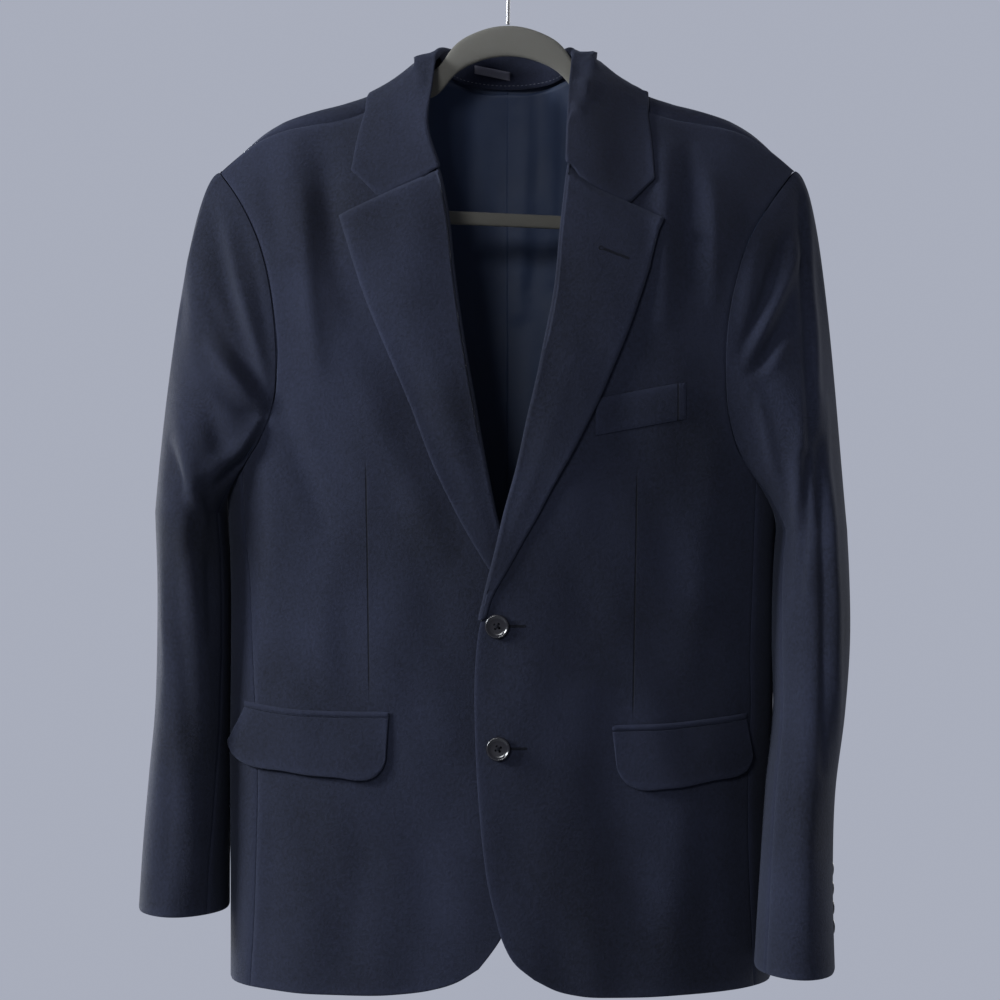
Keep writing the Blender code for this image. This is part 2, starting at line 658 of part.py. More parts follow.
def finish_material(name, colour, roughness, metallic):
    material = bpy.data.materials.new(name)
    material.use_nodes = True
    shader = material.node_tree.nodes["Principled BSDF"]
    shader.inputs["Base Color"].default_value = (*colour, 1)
    shader.inputs["Roughness"].default_value = roughness
    shader.inputs["Metallic"].default_value = metallic
    return material


def unit_rows(rows):
    return rows / np.linalg.norm(rows, axis=-1, keepdims=True)


def grid_normals(grid, closed=False):
    """Unit normals of a grid of points, from its neighbours; a closed one repeats a column."""
    along_v = np.gradient(grid, axis=0)
    along_u = np.gradient(grid, axis=1)
    if closed:
        along_u[:, 0] = along_u[:, -1] = grid[:, 1] - grid[:, -2]
    normal = np.cross(along_u, along_v)
    return normal / np.maximum(np.linalg.norm(normal, axis=-1, keepdims=True), 1e-12)


def new_object(name, vertices, faces, finish, smooth_angle=50):
    mesh = bpy.data.meshes.new(name)
    mesh.from_pydata([tuple(map(float, v)) for v in vertices], [], faces)
    made = bmesh.new()
    made.from_mesh(mesh)
    bmesh.ops.remove_doubles(made, verts=made.verts, dist=1e-6)
    bmesh.ops.recalc_face_normals(made, faces=made.faces)
    made.to_mesh(mesh)
    made.free()
    mesh.shade_smooth()
    mesh.set_sharp_from_angle(angle=math.radians(smooth_angle))
    mesh.materials.append(finish_material(name, *FINISHES[finish]))
    thing = bpy.data.objects.new(name, mesh)
    bpy.context.collection.objects.link(thing)
    return thing


def outward_normals(grid):
    """Normals of a grid of body points, facing away from the body's middle."""
    normal = grid_normals(grid)
    middle = grid.reshape(-1, 3).mean(0)
    middle[:2] *= 0.3
    return -normal if ((grid - middle) * normal).sum() < 0 else normal


def cloth_tree(*grids):
    """The outer faces of some grids, for laying other pieces on them."""
    vertices = []
    faces = []
    for grid in grids:
        outward = (outward_normals(grid) * grid_normals(grid)).sum() > 0
        start = len(vertices)
        rows, columns = grid.shape[:2]
        vertices += [Vector(point) for point in grid.reshape(-1, 3)]
        for i in range(rows - 1):
            for j in range(columns - 1):
                a = start + i * columns + j
                corners = (a, a + 1, a + 1 + columns, a + columns)
                faces.append(corners if outward else corners[::-1])
    return bvhtree.BVHTree.FromPolygons(vertices, faces)


def cloth_normals(points, tree):
    """Outward directions of the cloth nearest to some points."""
    flat = [tree.find_nearest(Vector(point))[1] for point in points.reshape(-1, 3)]
    return np.array(flat).reshape(points.shape)


def lay_over(points, tree, out, only_raise=False):
    """Points moved along the cloth's normal until they stand out from it by an amount."""
    flat = points.reshape(-1, 3).copy()
    out = np.broadcast_to(out, points.shape[:-1]).reshape(-1)
    for k, point in enumerate(flat):
        place, normal, _, distance = tree.find_nearest(Vector(point))
        away = (Vector(point) - place).dot(normal)
        past_edge = distance > abs(away) + CLEAR and distance > out[k]
        if not (only_raise and (past_edge or away > out[k])):
            flat[k] = point + np.array(normal) * (out[k] - away)
    return flat.reshape(points.shape)


def widened(grid, columns, rows, reach):
    """A grid with its neck edge carried on: first column above a row, or last row to a column."""
    if columns is None:
        way = unit_rows(grid[:, 0] - grid[:, 1])
        far = np.where(np.arange(len(grid)) >= rows, reach, CLEAR)[:, None]
        return np.concatenate([(grid[:, 0] + way * far)[:, None], grid], 1)
    way = unit_rows(grid[-1] - grid[-2])
    far = np.where(np.arange(grid.shape[1]) <= columns, reach, CLEAR)[:, None]
    return np.concatenate([grid, (grid[-1] + way * far)[None]])


def keep_clear(grid, tree, out):
    """Raise a grid until its points and the insides of its cells stand clear of the cloth."""
    out = np.broadcast_to(out, grid.shape[:-1])
    for _ in range(CLEAR_ROUNDS):
        grid = lay_over(grid, tree, out, only_raise=True)
        raised = np.zeros(grid.shape)
        for a in CELL_SHARES:
            for b in CELL_SHARES:
                weight = ((1 - a) * (1 - b), a * (1 - b), (1 - a) * b, a * b)
                corner = (
                    (slice(0, -1), slice(0, -1)), (slice(1, None), slice(0, -1)),
                    (slice(0, -1), slice(1, None)), (slice(1, None), slice(1, None)),
                )
                inside = sum(w * grid[c] for w, c in zip(weight, corner))
                level = sum(w * out[c] for w, c in zip(weight, corner)) - CLEAR / 2
                push = lay_over(inside, tree, level, only_raise=True) - inside
                for c in corner:
                    more = np.linalg.norm(push, axis=-1) > np.linalg.norm(raised[c], axis=-1)
                    raised[c][more] = push[more]
        grid = grid + raised
    return grid


def wall(name, outer, thickness, finish, inward=None):
    """A closed wall: the outer grid, the same grid moved in, and its edges."""
    if inward is None:
        inward = -outward_normals(outer)
    inner = outer + inward * thickness
    rows, columns = outer.shape[:2]
    vertices = np.concatenate([outer.reshape(-1, 3), inner.reshape(-1, 3)])
    shift = rows * columns
    faces = []
    for i in range(rows - 1):
        for j in range(columns - 1):
            a = i * columns + j
            faces.append((a, a + 1, a + 1 + columns, a + columns))
            faces.append((a + shift, a + columns + shift, a + 1 + columns + shift, a + 1 + shift))
    rim = [j for j in range(columns)]
    rim += [i * columns + columns - 1 for i in range(1, rows)]
    rim += [(rows - 1) * columns + j for j in range(columns - 2, -1, -1)]
    rim += [i * columns for i in range(rows - 2, 0, -1)]
    for a, b in zip(rim, rim[1:] + rim[:1]):
        faces.append((a, a + shift, b + shift, b))
    return new_object(name, vertices, faces, finish)


# ---------------------------------------------------------------- shared seams
LOW_ROWS = 11
ARM_FRONT_ROWS = 9
ARM_UNDER_ROWS = 3
ARM_BACK_STEPS = (0.0, 0.16, 0.32, 0.48, 0.63, 0.76, 0.86, 0.92, 0.96, 1.0)
PANEL_COLUMNS = 9
NECK_COLUMNS = 4
SIGN = {"right": -1.0, "left": 1.0}


def armhole_domain(side):
    """The armhole as ring angles and heights, once round from the shoulder seam."""
    sign = SIGN[side]
    points = [(float(ring_angle(sign * x, z)), z) for x, z in ARMHOLE_FRONT[side]]
    points.append((sign * math.pi / 2, UNDERARM_Z[side]))
    points += [(float(ring_angle(sign * x, z, back=True)), z) for x, z in ARMHOLE_BACK]
    return points


def armhole_points(side, shares):
    """Body points on the armhole at shares of the way round, closed over the shoulder."""
    sign = SIGN[side]
    table = [tuple(ring_point(angle, z)) for angle, z in armhole_domain(side)]
    table[0] = tuple(over_point(sign * ARMHOLE_FRONT[side][0][0], SHOULDER_SEAM_ENDS))
    table.append(table[0])
    return curve_through(table, shares)


def armhole_marks(side):
    """Shares of the armhole at which the side panel's two seams leave it."""
    shares = np.linspace(0, 1, 400)
    points = armhole_points(side, shares)
    front_z = ARMHOLE_FRONT[side][-1][1]
    low = int(np.argmin(points[:, 2]))
    fore = int(np.argmin(np.abs(points[:low, 2] - front_z)))
    hind = low + int(np.argmin(np.abs(points[low:, 2] - ARMHOLE_BACK[1][1])))
    return shares[fore], shares[hind]


def armhole_samples(side):
    """Shares of the armhole used by every piece that meets there."""
    fore, hind = armhole_marks(side)
    front = np.linspace(0, fore, ARM_FRONT_ROWS + 1)
    under = np.linspace(fore, hind, ARM_UNDER_ROWS + 1)
    back = hind + (1 - hind) * np.array(ARM_BACK_STEPS)
    return front, under, back


def seam_front_points(side):
    """The seam between front and side panel, from the hem up to the armhole."""
    sign = SIGN[side]
    fore, _ = armhole_marks(side)
    top = armhole_points(side, [fore])[0]
    z = np.linspace(HEM_Z, top[2], LOW_ROWS + 1)
    x = sign * column(SIDE_SEAM[side], SIDE_SEAM_COLUMNS, "x", z)
    x = x + (top[0] - x[-1]) * np.linspace(0, 1, LOW_ROWS + 1) ** 4
    points = ring_point(ring_angle(x, z), z)
    points[-1] = top
    return points


def seam_back_points(side):
    """The seam between side panel and back, from the hem up to the armhole."""
    sign = SIGN[side]
    _, hind = armhole_marks(side)
    top = armhole_points(side, [hind])[0]
    z = np.linspace(HEM_Z, top[2], LOW_ROWS + 1)
    x = sign * column(BACK_SEAM, SIDE_SEAM_COLUMNS, "x", z)
    x = x + (top[0] - x[-1]) * np.linspace(0, 1, LOW_ROWS + 1) ** 4
    points = ring_point(ring_angle(x, z, back=True), z)
    points[-1] = top
    return points


def seam_over(share):
    """How far forward of the ridge the shoulder seam lies, from neck to sleeve."""
    return SHOULDER_SEAM_ENDS + SHOULDER_SEAM_BOW * share * (1 - share) ** 2


def shoulder_seam_points(side, count):
    """The shoulder seam from the neck to the armhole, forward of the ridge."""
    sign = SIGN[side]
    share = np.linspace(0, 1, count)
    tip = ARMHOLE_FRONT[side][0][0]
    x = NECK_POINT_X[side] + (sign * tip - NECK_POINT_X[side]) * share
    return over_point(x, seam_over(share))


def ring_inward(points, back=False):
    """Inward directions of the body at seam points, the same for both pieces that meet."""
    angle = ring_angle(points[:, 0], points[:, 2], back=back)
    return -normal_of(ring_point, angle, points[:, 2], ANGLE_STEP, WAY_STEP) * way_out()


def way_out():
    """Sign that turns a ring normal outward."""
    front = normal_of(ring_point, np.array([0.1]), np.array([-0.6]), ANGLE_STEP, WAY_STEP)
    return -1.0 if front[0, 1] > 0 else 1.0


def shoulder_inward(side):
    """Inward directions along the shoulder seam, for front and back alike."""
    points = shoulder_seam_points(side, PANEL_COLUMNS)
    over = seam_over(np.linspace(0, 1, PANEL_COLUMNS))
    normal = normal_of(over_point, points[:, 0], over, WAY_STEP, WAY_STEP)
    return np.where(normal[:, 2:] > 0, -normal, normal)


# ---------------------------------------------------------------- fronts, sides, backs
def front_grid(side):
    """Outer points of a front, bottom to top and from the front edge to the side."""
    front, _, _ = armhole_samples(side)
    low = seam_front_points(side)
    arm = armhole_points(side, front[::-1])
    right = np.concatenate([low, arm[1:]])
    shoulder = shoulder_seam_points(side, PANEL_COLUMNS)
    edge_xz = list(FRONT_EDGE[side]) + list(NECK_EDGE[side])
    neck = shoulder[0]
    edge_xz.append((neck[0], neck[2]))
    run = np.concatenate([[0], np.cumsum(np.linalg.norm(np.diff(right, axis=0), axis=1))])
    left_xz = curve_through(edge_xz, run / run[-1])
    hem_xz = [FRONT_EDGE[side][0]] + list(HEM_CURVE[side]) + [(low[0][0], HEM_Z)]
    bottom_xz = curve_through(hem_xz, np.linspace(0, 1, PANEL_COLUMNS))
    flat = coons(bottom_xz, shoulder[:, [0, 2]], left_xz, right[:, [0, 2]])
    x, z = flat[..., 0], flat[..., 1]
    points = ring_point(ring_angle(x, z), z)
    points[:, -1] = right
    points[-1] = shoulder
    if side == "left":
        normal = normal_of(ring_point, ring_angle(x, z), z, ANGLE_STEP, WAY_STEP)
        points = points + normal * centre_lift(x, z)[..., None]
    return points


def side_grid(side):
    _, under, _ = armhole_samples(side)
    fore = seam_front_points(side)
    hind = seam_back_points(side)
    top = armhole_points(side, under)
    start = np.array([float(ring_angle(fore[0][0], HEM_Z)), HEM_Z])
    end = np.array([float(ring_angle(hind[0][0], HEM_Z, back=True)), HEM_Z])
    bottom = start + (end - start) * np.linspace(0, 1, ARM_UNDER_ROWS + 1)[:, None]

    def domain(points, back):
        angles = [float(ring_angle(p[0], p[2], back=back)) for p in points]
        return np.stack([angles, points[:, 2]], 1)

    middle = np.linspace(0, 1, ARM_UNDER_ROWS + 1)
    low_top = domain(fore, False)[-1], domain(hind, True)[-1]
    angles_top = low_top[0][0] + (low_top[1][0] - low_top[0][0]) * middle
    top_domain = np.stack([angles_top, top[:, 2]], 1)
    flat = coons(bottom, top_domain, domain(fore, False), domain(hind, True))
    points = ring_point(flat[..., 0], flat[..., 1])
    points[:, 0] = fore
    points[:, -1] = hind
    points[-1] = top
    return points


def back_domain(side):
    """The back's places as x and way over the shoulder, with its armhole and side points."""
    sign = SIGN[side]
    _, _, back = armhole_samples(side)
    low = seam_back_points(side)
    arm = armhole_points(side, back)
    right = np.concatenate([low, arm[1:]])
    shoulder = shoulder_seam_points(side, PANEL_COLUMNS)
    neck_x = shoulder[0][0]
    neck_way = [(sign * x, float(over_way(x, z))) for x, z in NECK_BACK]
    neck_way.append((neck_x * NECK_BACK_TURN[0], NECK_BACK_TURN[1]))
    neck_way.append((neck_x, SHOULDER_SEAM_ENDS))
    neck_curve = curve_through(neck_way, np.linspace(0, 1, NECK_COLUMNS + 1))
    over = seam_over(np.linspace(0, 1, PANEL_COLUMNS))
    top = np.concatenate([neck_curve, np.stack([shoulder[:, 0], over], 1)[1:]])
    way = np.array([float(over_way(p[0], p[2])) for p in right])
    way[-1] = SHOULDER_SEAM_ENDS
    right_domain = np.stack([right[:, 0], way], 1)
    run = np.concatenate([[0], np.cumsum(np.linalg.norm(np.diff(right, axis=0), axis=1))])
    centre_hem = HEM_Z + BACK_HEM_RISE
    z = centre_hem + (NECK_BACK[0][1] - centre_hem) * run / run[-1]
    left = np.stack([np.zeros(len(z)), over_way(np.zeros(len(z)), z)], 1)
    hem_share = np.linspace(0, 1, len(top))
    hem_x = low[0][0] * hem_share
    hem_z = HEM_Z + BACK_HEM_RISE * (1 - hem_share**2) ** 2
    bottom = np.stack([hem_x, over_way(hem_x, hem_z)], 1)
    return coons(bottom, top, left, right_domain), right, shoulder


def back_grid(side):
    flat, right, shoulder = back_domain(side)
    points = over_point(flat[..., 0], flat[..., 1])
    points[:, -1] = right
    points[-1, NECK_COLUMNS:] = shoulder
    return points


def back_inward(side):
    """Inward directions of the back, from the surface itself."""
    flat, _, _ = back_domain(side)
    normal = normal_of(over_point, flat[..., 0], flat[..., 1], WAY_STEP, WAY_STEP)
    return -normal if normal[2, 2, 1] > 0 else normal


def panel_grids(side):
    return {
        "front_" + side: front_grid(side),
        "side_panel_" + side: side_grid(side),
        "back_" + side: back_grid(side),
    }


def make_panels(grids):
    gap = SEAM_HALF_GAP
    for side in ("right", "left"):
        fore = seam_front_points(side)
        hind = seam_back_points(side)
        low = len(fore)
        front, under, back = (grids[n + side] for n in ("front_", "side_panel_", "back_"))
        inward = -outward_normals(front)
        inward[:low, -1] = ring_inward(fore)
        inward[-1] = shoulder_inward(side)
        wall("front_" + side, pull_in(front, (0, gap, 0, gap)), CLOTH, "wool", inward)
        inward = -outward_normals(under)
        inward[:, 0] = ring_inward(fore)
        inward[:, -1] = ring_inward(hind, back=True)
        wall("side_panel_" + side, pull_in(under, (0, gap, gap, gap)), CLOTH, "wool", inward)
        inward = back_inward(side)
        inward[low:, -1] = -outward_normals(back)[low:, -1]
        inward[:low, -1] = ring_inward(hind, back=True)
        inward[-1, NECK_COLUMNS:] = shoulder_inward(side)
        inward[:, 0, 0] = 0
        wall("back_" + side, pull_in(back, (0, gap, gap, gap)), CLOTH, "wool", inward)


# ---------------------------------------------------------------- sleeves
def sleeve_ring(side, angle, z):
    """Sleeve point at an angle from the outer side, through the front, and a height."""
    rows = SLEEVE[side]
    sign = SIGN[side]
    cx = column(rows, SLEEVE_COLUMNS, "x", z)
    cy = column(rows, SLEEVE_COLUMNS, "y", z)
    across = column(rows, SLEEVE_COLUMNS, "across", z)
    deep = column(rows, SLEEVE_COLUMNS, "deep", z)
    x = cx + sign * across * np.cos(angle)
    y = cy - deep * np.sin(angle)
    return np.stack(np.broadcast_arrays(x, y, z), -1)


def sleeve_angle(side, share, z, z_key):
    """Ring angle of an armhole share, held to the two seams."""
    fore = np.radians(column(SLEEVE[side], SLEEVE_COLUMNS, "fore_seam", z_key))
    hind = np.radians(column(SLEEVE[side], SLEEVE_COLUMNS, "hind_seam", z_key))
    top_start = SLEEVE_HIND_SEAM - 1
    share = np.where(share > SLEEVE_HIND_SEAM, share - 1, share)
    over = (share - top_start) / (SLEEVE_FORE_SEAM - top_start)
    under = (share - SLEEVE_FORE_SEAM) / (SLEEVE_HIND_SEAM - SLEEVE_FORE_SEAM)
    upper_angle = hind - 2 * np.pi + (fore - hind + 2 * np.pi) * over
    under_angle = fore + (hind - fore) * under
    return np.where(share <= SLEEVE_FORE_SEAM, upper_angle, under_angle)


def sleeve_surface(side, shares, head_rows, arm_rows):
    """Sleeve points, rows from the armhole to the cuff, columns at armhole shares."""
    sign = SIGN[side]
    shares = np.asarray(shares, float)
    start = armhole_points(side, np.mod(shares, 1.0))
    middle = armhole_points(side, np.linspace(0, 1, 60)).mean(0)
    rows = SLEEVE[side]
    top_z, cuff_z = rows[-1][0], rows[0][0]
    first = sleeve_ring(side, sleeve_angle(side, shares, top_z, top_z), top_z)
    outward = np.abs(np.cos(np.pi * shares))[:, None]
    aside = outward + UNDERARM_ASIDE * (1 - outward)
    leave = np.array([sign, 0, 0]) * aside + np.array([0, 0, -1.0]) * (LEAVE_DOWN - outward)
    leave = leave / np.linalg.norm(leave, axis=1, keepdims=True)
    chord = first - start
    length = np.linalg.norm(chord, axis=1, keepdims=True)
    below_z = top_z - BICEP_STEP
    below = sleeve_ring(side, sleeve_angle(side, shares, below_z, below_z), below_z)
    upward = (first - below) / np.linalg.norm(first - below, axis=1, keepdims=True)
    arrive = ARRIVE_STRAIGHT * -chord / length + (1 - ARRIVE_STRAIGHT) * upward
    lift = start - middle
    lift[:, 0] = 0
    lift = lift / np.linalg.norm(lift, axis=1, keepdims=True)
    begin = start + leave * SLEEVE_START + lift * SLEEVE_START_LIFT
    begin = begin + np.array([sign * SLEEVE_START_ASIDE, 0, 0])
    swell = SLEEVE_HEAD_SWELL * outward + SLEEVE_HEAD_LEAST
    one = begin + leave * np.minimum(swell, SLEEVE_HEAD_SHARE * length)
    two = first + arrive * SLEEVE_HEAD_SHARE * length
    t = np.linspace(0, 1, head_rows + 1)[:, None, None]
    head = (1 - t) ** 3 * begin + 3 * t * (1 - t) ** 2 * one + 3 * t**2 * (1 - t) * two + t**3 * first
    z = np.linspace(top_z, cuff_z, arm_rows + 1)[1:]
    tube = [sleeve_ring(side, sleeve_angle(side, shares, level, level), level) for level in z]
    return np.concatenate([head, np.array(tube)])


def fold_sleeve(side, grid):
    """The sleeve's folds, front ones on its front and back ones behind."""
    normal = grid_normals(grid, closed=True)
    middle = grid.mean(1, keepdims=True)
    if ((grid - middle) * normal).sum() < 0:
        normal = -normal
    x, z = grid[..., 0], grid[..., 2]
    front = fold_height(x, z, SLEEVE_FOLDS[side]) * step_between(*FOLD_FACING, -normal[..., 1])
    back = fold_height(np.abs(x), z, SLEEVE_FOLDS_BACK) * step_between(*FOLD_FACING, normal[..., 1])
    fade = step_between(0.0, FOLD_START_ROWS, np.arange(len(grid)))[:, None]
    return grid + normal * ((front + back) * fade)[..., None], -normal


HEAD_ROWS = 7
ARM_ROWS = 9


def make_sleeves():
    gap = SLEEVE_SEAM_HALF_GAP
    for side in ("right", "left"):
        front, under, back = armhole_samples(side)
        loop = np.concatenate([front, under[1:], back[1:-1]])
        fore = int(np.argmin(np.abs(loop - SLEEVE_FORE_SEAM)))
        hind = int(np.argmin(np.abs(loop - SLEEVE_HIND_SEAM)))
        whole = sleeve_surface(side, loop, HEAD_ROWS, ARM_ROWS)
        around = np.concatenate([whole, whole[:, :1]], 1)
        shape, inward = fold_sleeve(side, around)
        upper_columns = list(range(hind, len(loop))) + list(range(0, fore + 1))
        under_columns = list(range(fore, hind + 1))
        for part, columns in (("upper", upper_columns), ("under", under_columns)):
            grid = pull_in(shape[:, columns], (0, 0, gap, gap))
            wall(f"sleeve_{side}_{part}", grid, CLOTH, "wool", inward[:, columns])


# ---------------------------------------------------------------- lapels and collar
LAPEL_RISE_Z = (-0.55, -0.44)
LAPEL_TURN = (-90, -45, 0, 45, 90)
ROLL_MARGIN = 0.006  # rows this near the roll line's ends are left out


def gorge_line(side, offset):
    """Front-view places along the gorge, moved up or down from the seam."""
    line = curve_through(GORGE[side], GORGE_SHARES)
    way = np.gradient(line, axis=0)
    up = np.stack([-way[:, 1], way[:, 0]], 1)
    up = up / np.linalg.norm(up, axis=1, keepdims=True)
    up = np.where(up[:, 1:] < 0, -up, up)
    return line + up * offset


def roll_stations(side, front):
    """Places on the front's edge from the break to the gorge, at the panel's own rows."""
    edge = front[:, 0]
    low = BREAK_Z[side]
    high = GORGE[side][0][1] - SEAM_SIDE_GAP
    own = edge[(edge[:, 2] > low + ROLL_MARGIN) & (edge[:, 2] < high - ROLL_MARGIN), 2]
    z = np.concatenate([[low], own, [high]])
    z = np.sort(np.concatenate([z, (z[1:] + z[:-1]) / 2]))
    point = np.stack([np.interp(z, edge[:, 2], edge[:, k]) for k in range(3)], 1)
    normal = outward_normals(front)
    out = np.stack([np.interp(z, edge[:, 2], normal[:, 0, k]) for k in range(3)], 1)
    away = edge - front[:, 1]
    away = np.stack([np.interp(z, edge[:, 2], away[:, k]) for k in range(3)], 1)
    away = away - (away * out).sum(1, keepdims=True) * out
    unit = [out / np.linalg.norm(out, axis=1)[:, None], away / np.linalg.norm(away, axis=1)[:, None]]
    return point, unit[0], unit[1]


def make_lapels(grids):
    for side in ("right", "left"):
        front = grids["front_" + side]
        point, out, away = roll_stations(side, front)
        rest = CLEAR + DOUBLE_CLOTH
        middle = point - out * (CLOTH / 2)
        radius = CLOTH / 2 + rest
        turn = []
        for degrees in LAPEL_TURN:
            a = math.radians(degrees)
            turn.append(middle + radius * (out * math.sin(a) + away * math.cos(a)))
        back_edge = turn[0] - away * LAPEL_RETURN
        gorge = gorge_line(side, -SEAM_SIDE_GAP)[1:]
        tip = np.array(LAPEL_EDGE[side][-1])
        steps = np.array(LAPEL_TIP_STEPS)[:, None]
        top = np.concatenate([point[-1:, [0, 2]], gorge, gorge[-1] + (tip - gorge[-1]) * steps])
        u = np.concatenate([[0], np.cumsum(np.linalg.norm(np.diff(top, axis=0), axis=1))])
        u = u / u[-1]
        left = point[:, [0, 2]]
        run = np.concatenate([[0], np.cumsum(np.linalg.norm(np.diff(left, axis=0), axis=1))])
        right = curve_through(LAPEL_EDGE[side], run / run[-1])
        bottom = left[0] + (right[0] - left[0]) * u[:, None]
        flat = coons(bottom, top, left, right)
        x, z = flat[..., 0], flat[..., 1]
        rise = rest + LAPEL_RISE * step_between(0.0, 0.5, u)[None, :] * step_between(*LAPEL_RISE_Z, z)
        tree = cloth_tree(front)
        face = keep_clear(lay_over(front_out(x, z, 0 * x), tree, rise), tree, rise)
        grid = np.stack([back_edge] + turn + [face[:, k] for k in range(1, len(u))], 1)
        inward = -cloth_normals(grid, cloth_tree(front))
        for k, degrees in enumerate(LAPEL_TURN):
            a = math.radians(degrees)
            inward[:, 1 + k] = -(out * math.sin(a) + away * math.cos(a))
        inward[:, 0] = out
        wall("lapel_" + side, grid, DOUBLE_CLOTH, "wool", inward)


HALF_PLACES = (0.0, 0.05, 0.10, 0.15, 0.20, 0.235, 0.262, 0.29, 0.315, 0.345, 0.38, 0.42, 0.46)
NECK_REACH = 0.005  # the panels' neck edges count as this much longer under the collar
COLLAR_PLACES = np.array(HALF_PLACES + (0.5,) + tuple(1 - p for p in HALF_PLACES[::-1]))
COLLAR_STATIONS = len(COLLAR_PLACES)
ROLL_TURN = (-1.0, -0.5, 0.0, 0.5, 1.0)
FALL_STEPS = (0.12, 0.26, 0.44, 0.64, 0.83, 1.0)
END_BLEND = 5  # stations in which the collar's end takes up the gorge's bend


def collar_value(name, place):
    return column(COLLAR, COLLAR_COLUMNS, name, place)


def collar_grid(grids):
    """Outer points of the collar: stand, rounded roll and fall, stations round the neck."""
    place = COLLAR_PLACES
    seam = np.stack([collar_value("seam_" + k, place) for k in "xyz"], 1)
    roll = np.stack([collar_value("roll_" + k, place) for k in "xyz"], 1)
    edge_x = collar_value("edge_x", place)
    edge_z = collar_value("edge_z", place)
    behind = step_between(0.0, 1.0, collar_value("edge_back", place))
    share = round_share(edge_x, edge_z)
    front_y = -depth_front(edge_x, edge_z, share)
    back_y = depth_back(edge_x, edge_z, share)
    edge = np.stack([edge_x, front_y * (1 - behind) + back_y * behind, edge_z], 1)
    stand_way = unit_rows(seam - roll)
    fall_way = unit_rows(edge - roll)
    into = unit_rows(stand_way + fall_way)
    across = unit_rows(fall_way - stand_way)
    half_fold = np.arccos(np.clip((into * fall_way).sum(1), -1, 1))[:, None]
    centre = roll + into * COLLAR_ROLL
    turn = []
    facing = []
    for step in ROLL_TURN:
        a = (math.pi / 2 - half_fold) * step
        facing.append(across * np.sin(a) - into * np.cos(a))
        turn.append(centre + COLLAR_ROLL * facing[-1])
    stand = [seam, (seam + turn[0]) / 2]
    fall = np.stack([turn[-1] + (edge - turn[-1]) * step for step in FALL_STEPS], 1)
    straight = fall.copy()
    for row, side in ((0, "right"), (COLLAR_STATIONS - 1, "left")):
        gorge = gorge_line(side, SEAM_SIDE_GAP)[1:]
        tip = edge[row][[0, 2]]
        line = np.concatenate([gorge, [(gorge[-1] + tip) / 2, tip]])
        depth = depth_front(line[:, 0], line[:, 1], round_share(line[:, 0], line[:, 1]))
        bend = np.stack([line[:, 0], -depth, line[:, 1]], 1) - straight[row]
        for k in range(END_BLEND):
            near = k if row == 0 else row - k
            fall[near] = fall[near] + bend * (1 - k / END_BLEND) ** 2
    clear = CLEAR + DOUBLE_CLOTH + COLLAR_LIFT
    panels = []
    for side in ("right", "left"):
        front = grids["front_" + side]
        above = int(np.argmax(front[:, 0, 2] > GORGE[side][0][1]))
        panels.append(widened(front, None, above, NECK_REACH))
        panels.append(widened(grids["back_" + side], NECK_COLUMNS, None, NECK_REACH))
    tree = cloth_tree(*panels)
    outside = keep_clear(np.concatenate([np.stack(turn[3:], 1), fall], 1), tree, clear)
    grid = np.concatenate([np.stack(stand + turn[:3], 1), outside], 1)
    inward = -grid_normals(grid)
    if inward[COLLAR_STATIONS // 2, -2, 1] > 0:
        inward = -inward
    inward[:, : len(stand) + len(turn)] = -np.stack(facing[:1] * len(stand) + facing, 1)
    first = len(stand) + len(turn)
    for row in (0, -1):
        inward[row, first:] = -cloth_normals(grid[row, first:], tree)
    return grid, inward


def make_collar(grids):
    grid, inward = collar_grid(grids)
    wall("collar", grid, DOUBLE_CLOTH, "wool", inward)


# ---------------------------------------------------------------- pockets
FLAP_STATIONS = 15
FLAP_ROWS = 4
WELT_STATIONS = 8
WELT_ROWS = 3


def make_pockets(grids):
    for side in ("right", "left"):
        tree = cloth_tree(grids["front_" + side], grids["side_panel_" + side])
        share = np.linspace(0, 1, FLAP_STATIONS)
        table = FLAP[side]
        top_x = column(table, FLAP_COLUMNS, "top_x", share)
        top_z = column(table, FLAP_COLUMNS, "top_z", share)
        low_x = column(table, FLAP_COLUMNS, "low_x", share)
        low_z = column(table, FLAP_COLUMNS, "low_z", share)
        off = column(table, FLAP_COLUMNS, "off", share)
        down = np.linspace(0, 1, FLAP_ROWS)[:, None]
        x = top_x + (low_x - top_x) * down
        z = top_z - CLEAR + (low_z - top_z) * down
        rise = POCKET_CLEAR + DOUBLE_CLOTH + off * down
        flap = keep_clear(lay_over(front_out(x, z, 0 * x), tree, rise), tree, rise)
        wall("pocket_flap_" + side, flap, DOUBLE_CLOTH, "wool")
        z = top_z + JET_HEIGHT * np.linspace(0, 1, 2)[:, None]
        x = top_x + 0 * z
        jet = lay_over(front_out(x, z, 0 * x), tree, POCKET_CLEAR + THIN_CLOTH)
        wall("pocket_jet_" + side, jet, THIN_CLOTH, "wool")
    u = np.linspace(0, 1, WELT_STATIONS)[None, :]
    v = np.linspace(0, 1, WELT_ROWS)[:, None]
    low = [WELT["low_left"][k] + (WELT["low_right"][k] - WELT["low_left"][k]) * u for k in (0, 1)]
    top = [WELT["top_left"][k] + (WELT["top_right"][k] - WELT["top_left"][k]) * u for k in (0, 1)]
    x = low[0] * (1 - v) + top[0] * v
    z = low[1] * (1 - v) + top[1] * v
    welt = lay_over(front_out(x, z, 0 * x), cloth_tree(grids["front_left"]), CLEAR + THIN_CLOTH)
    wall("breast_welt", welt, THIN_CLOTH, "wool")


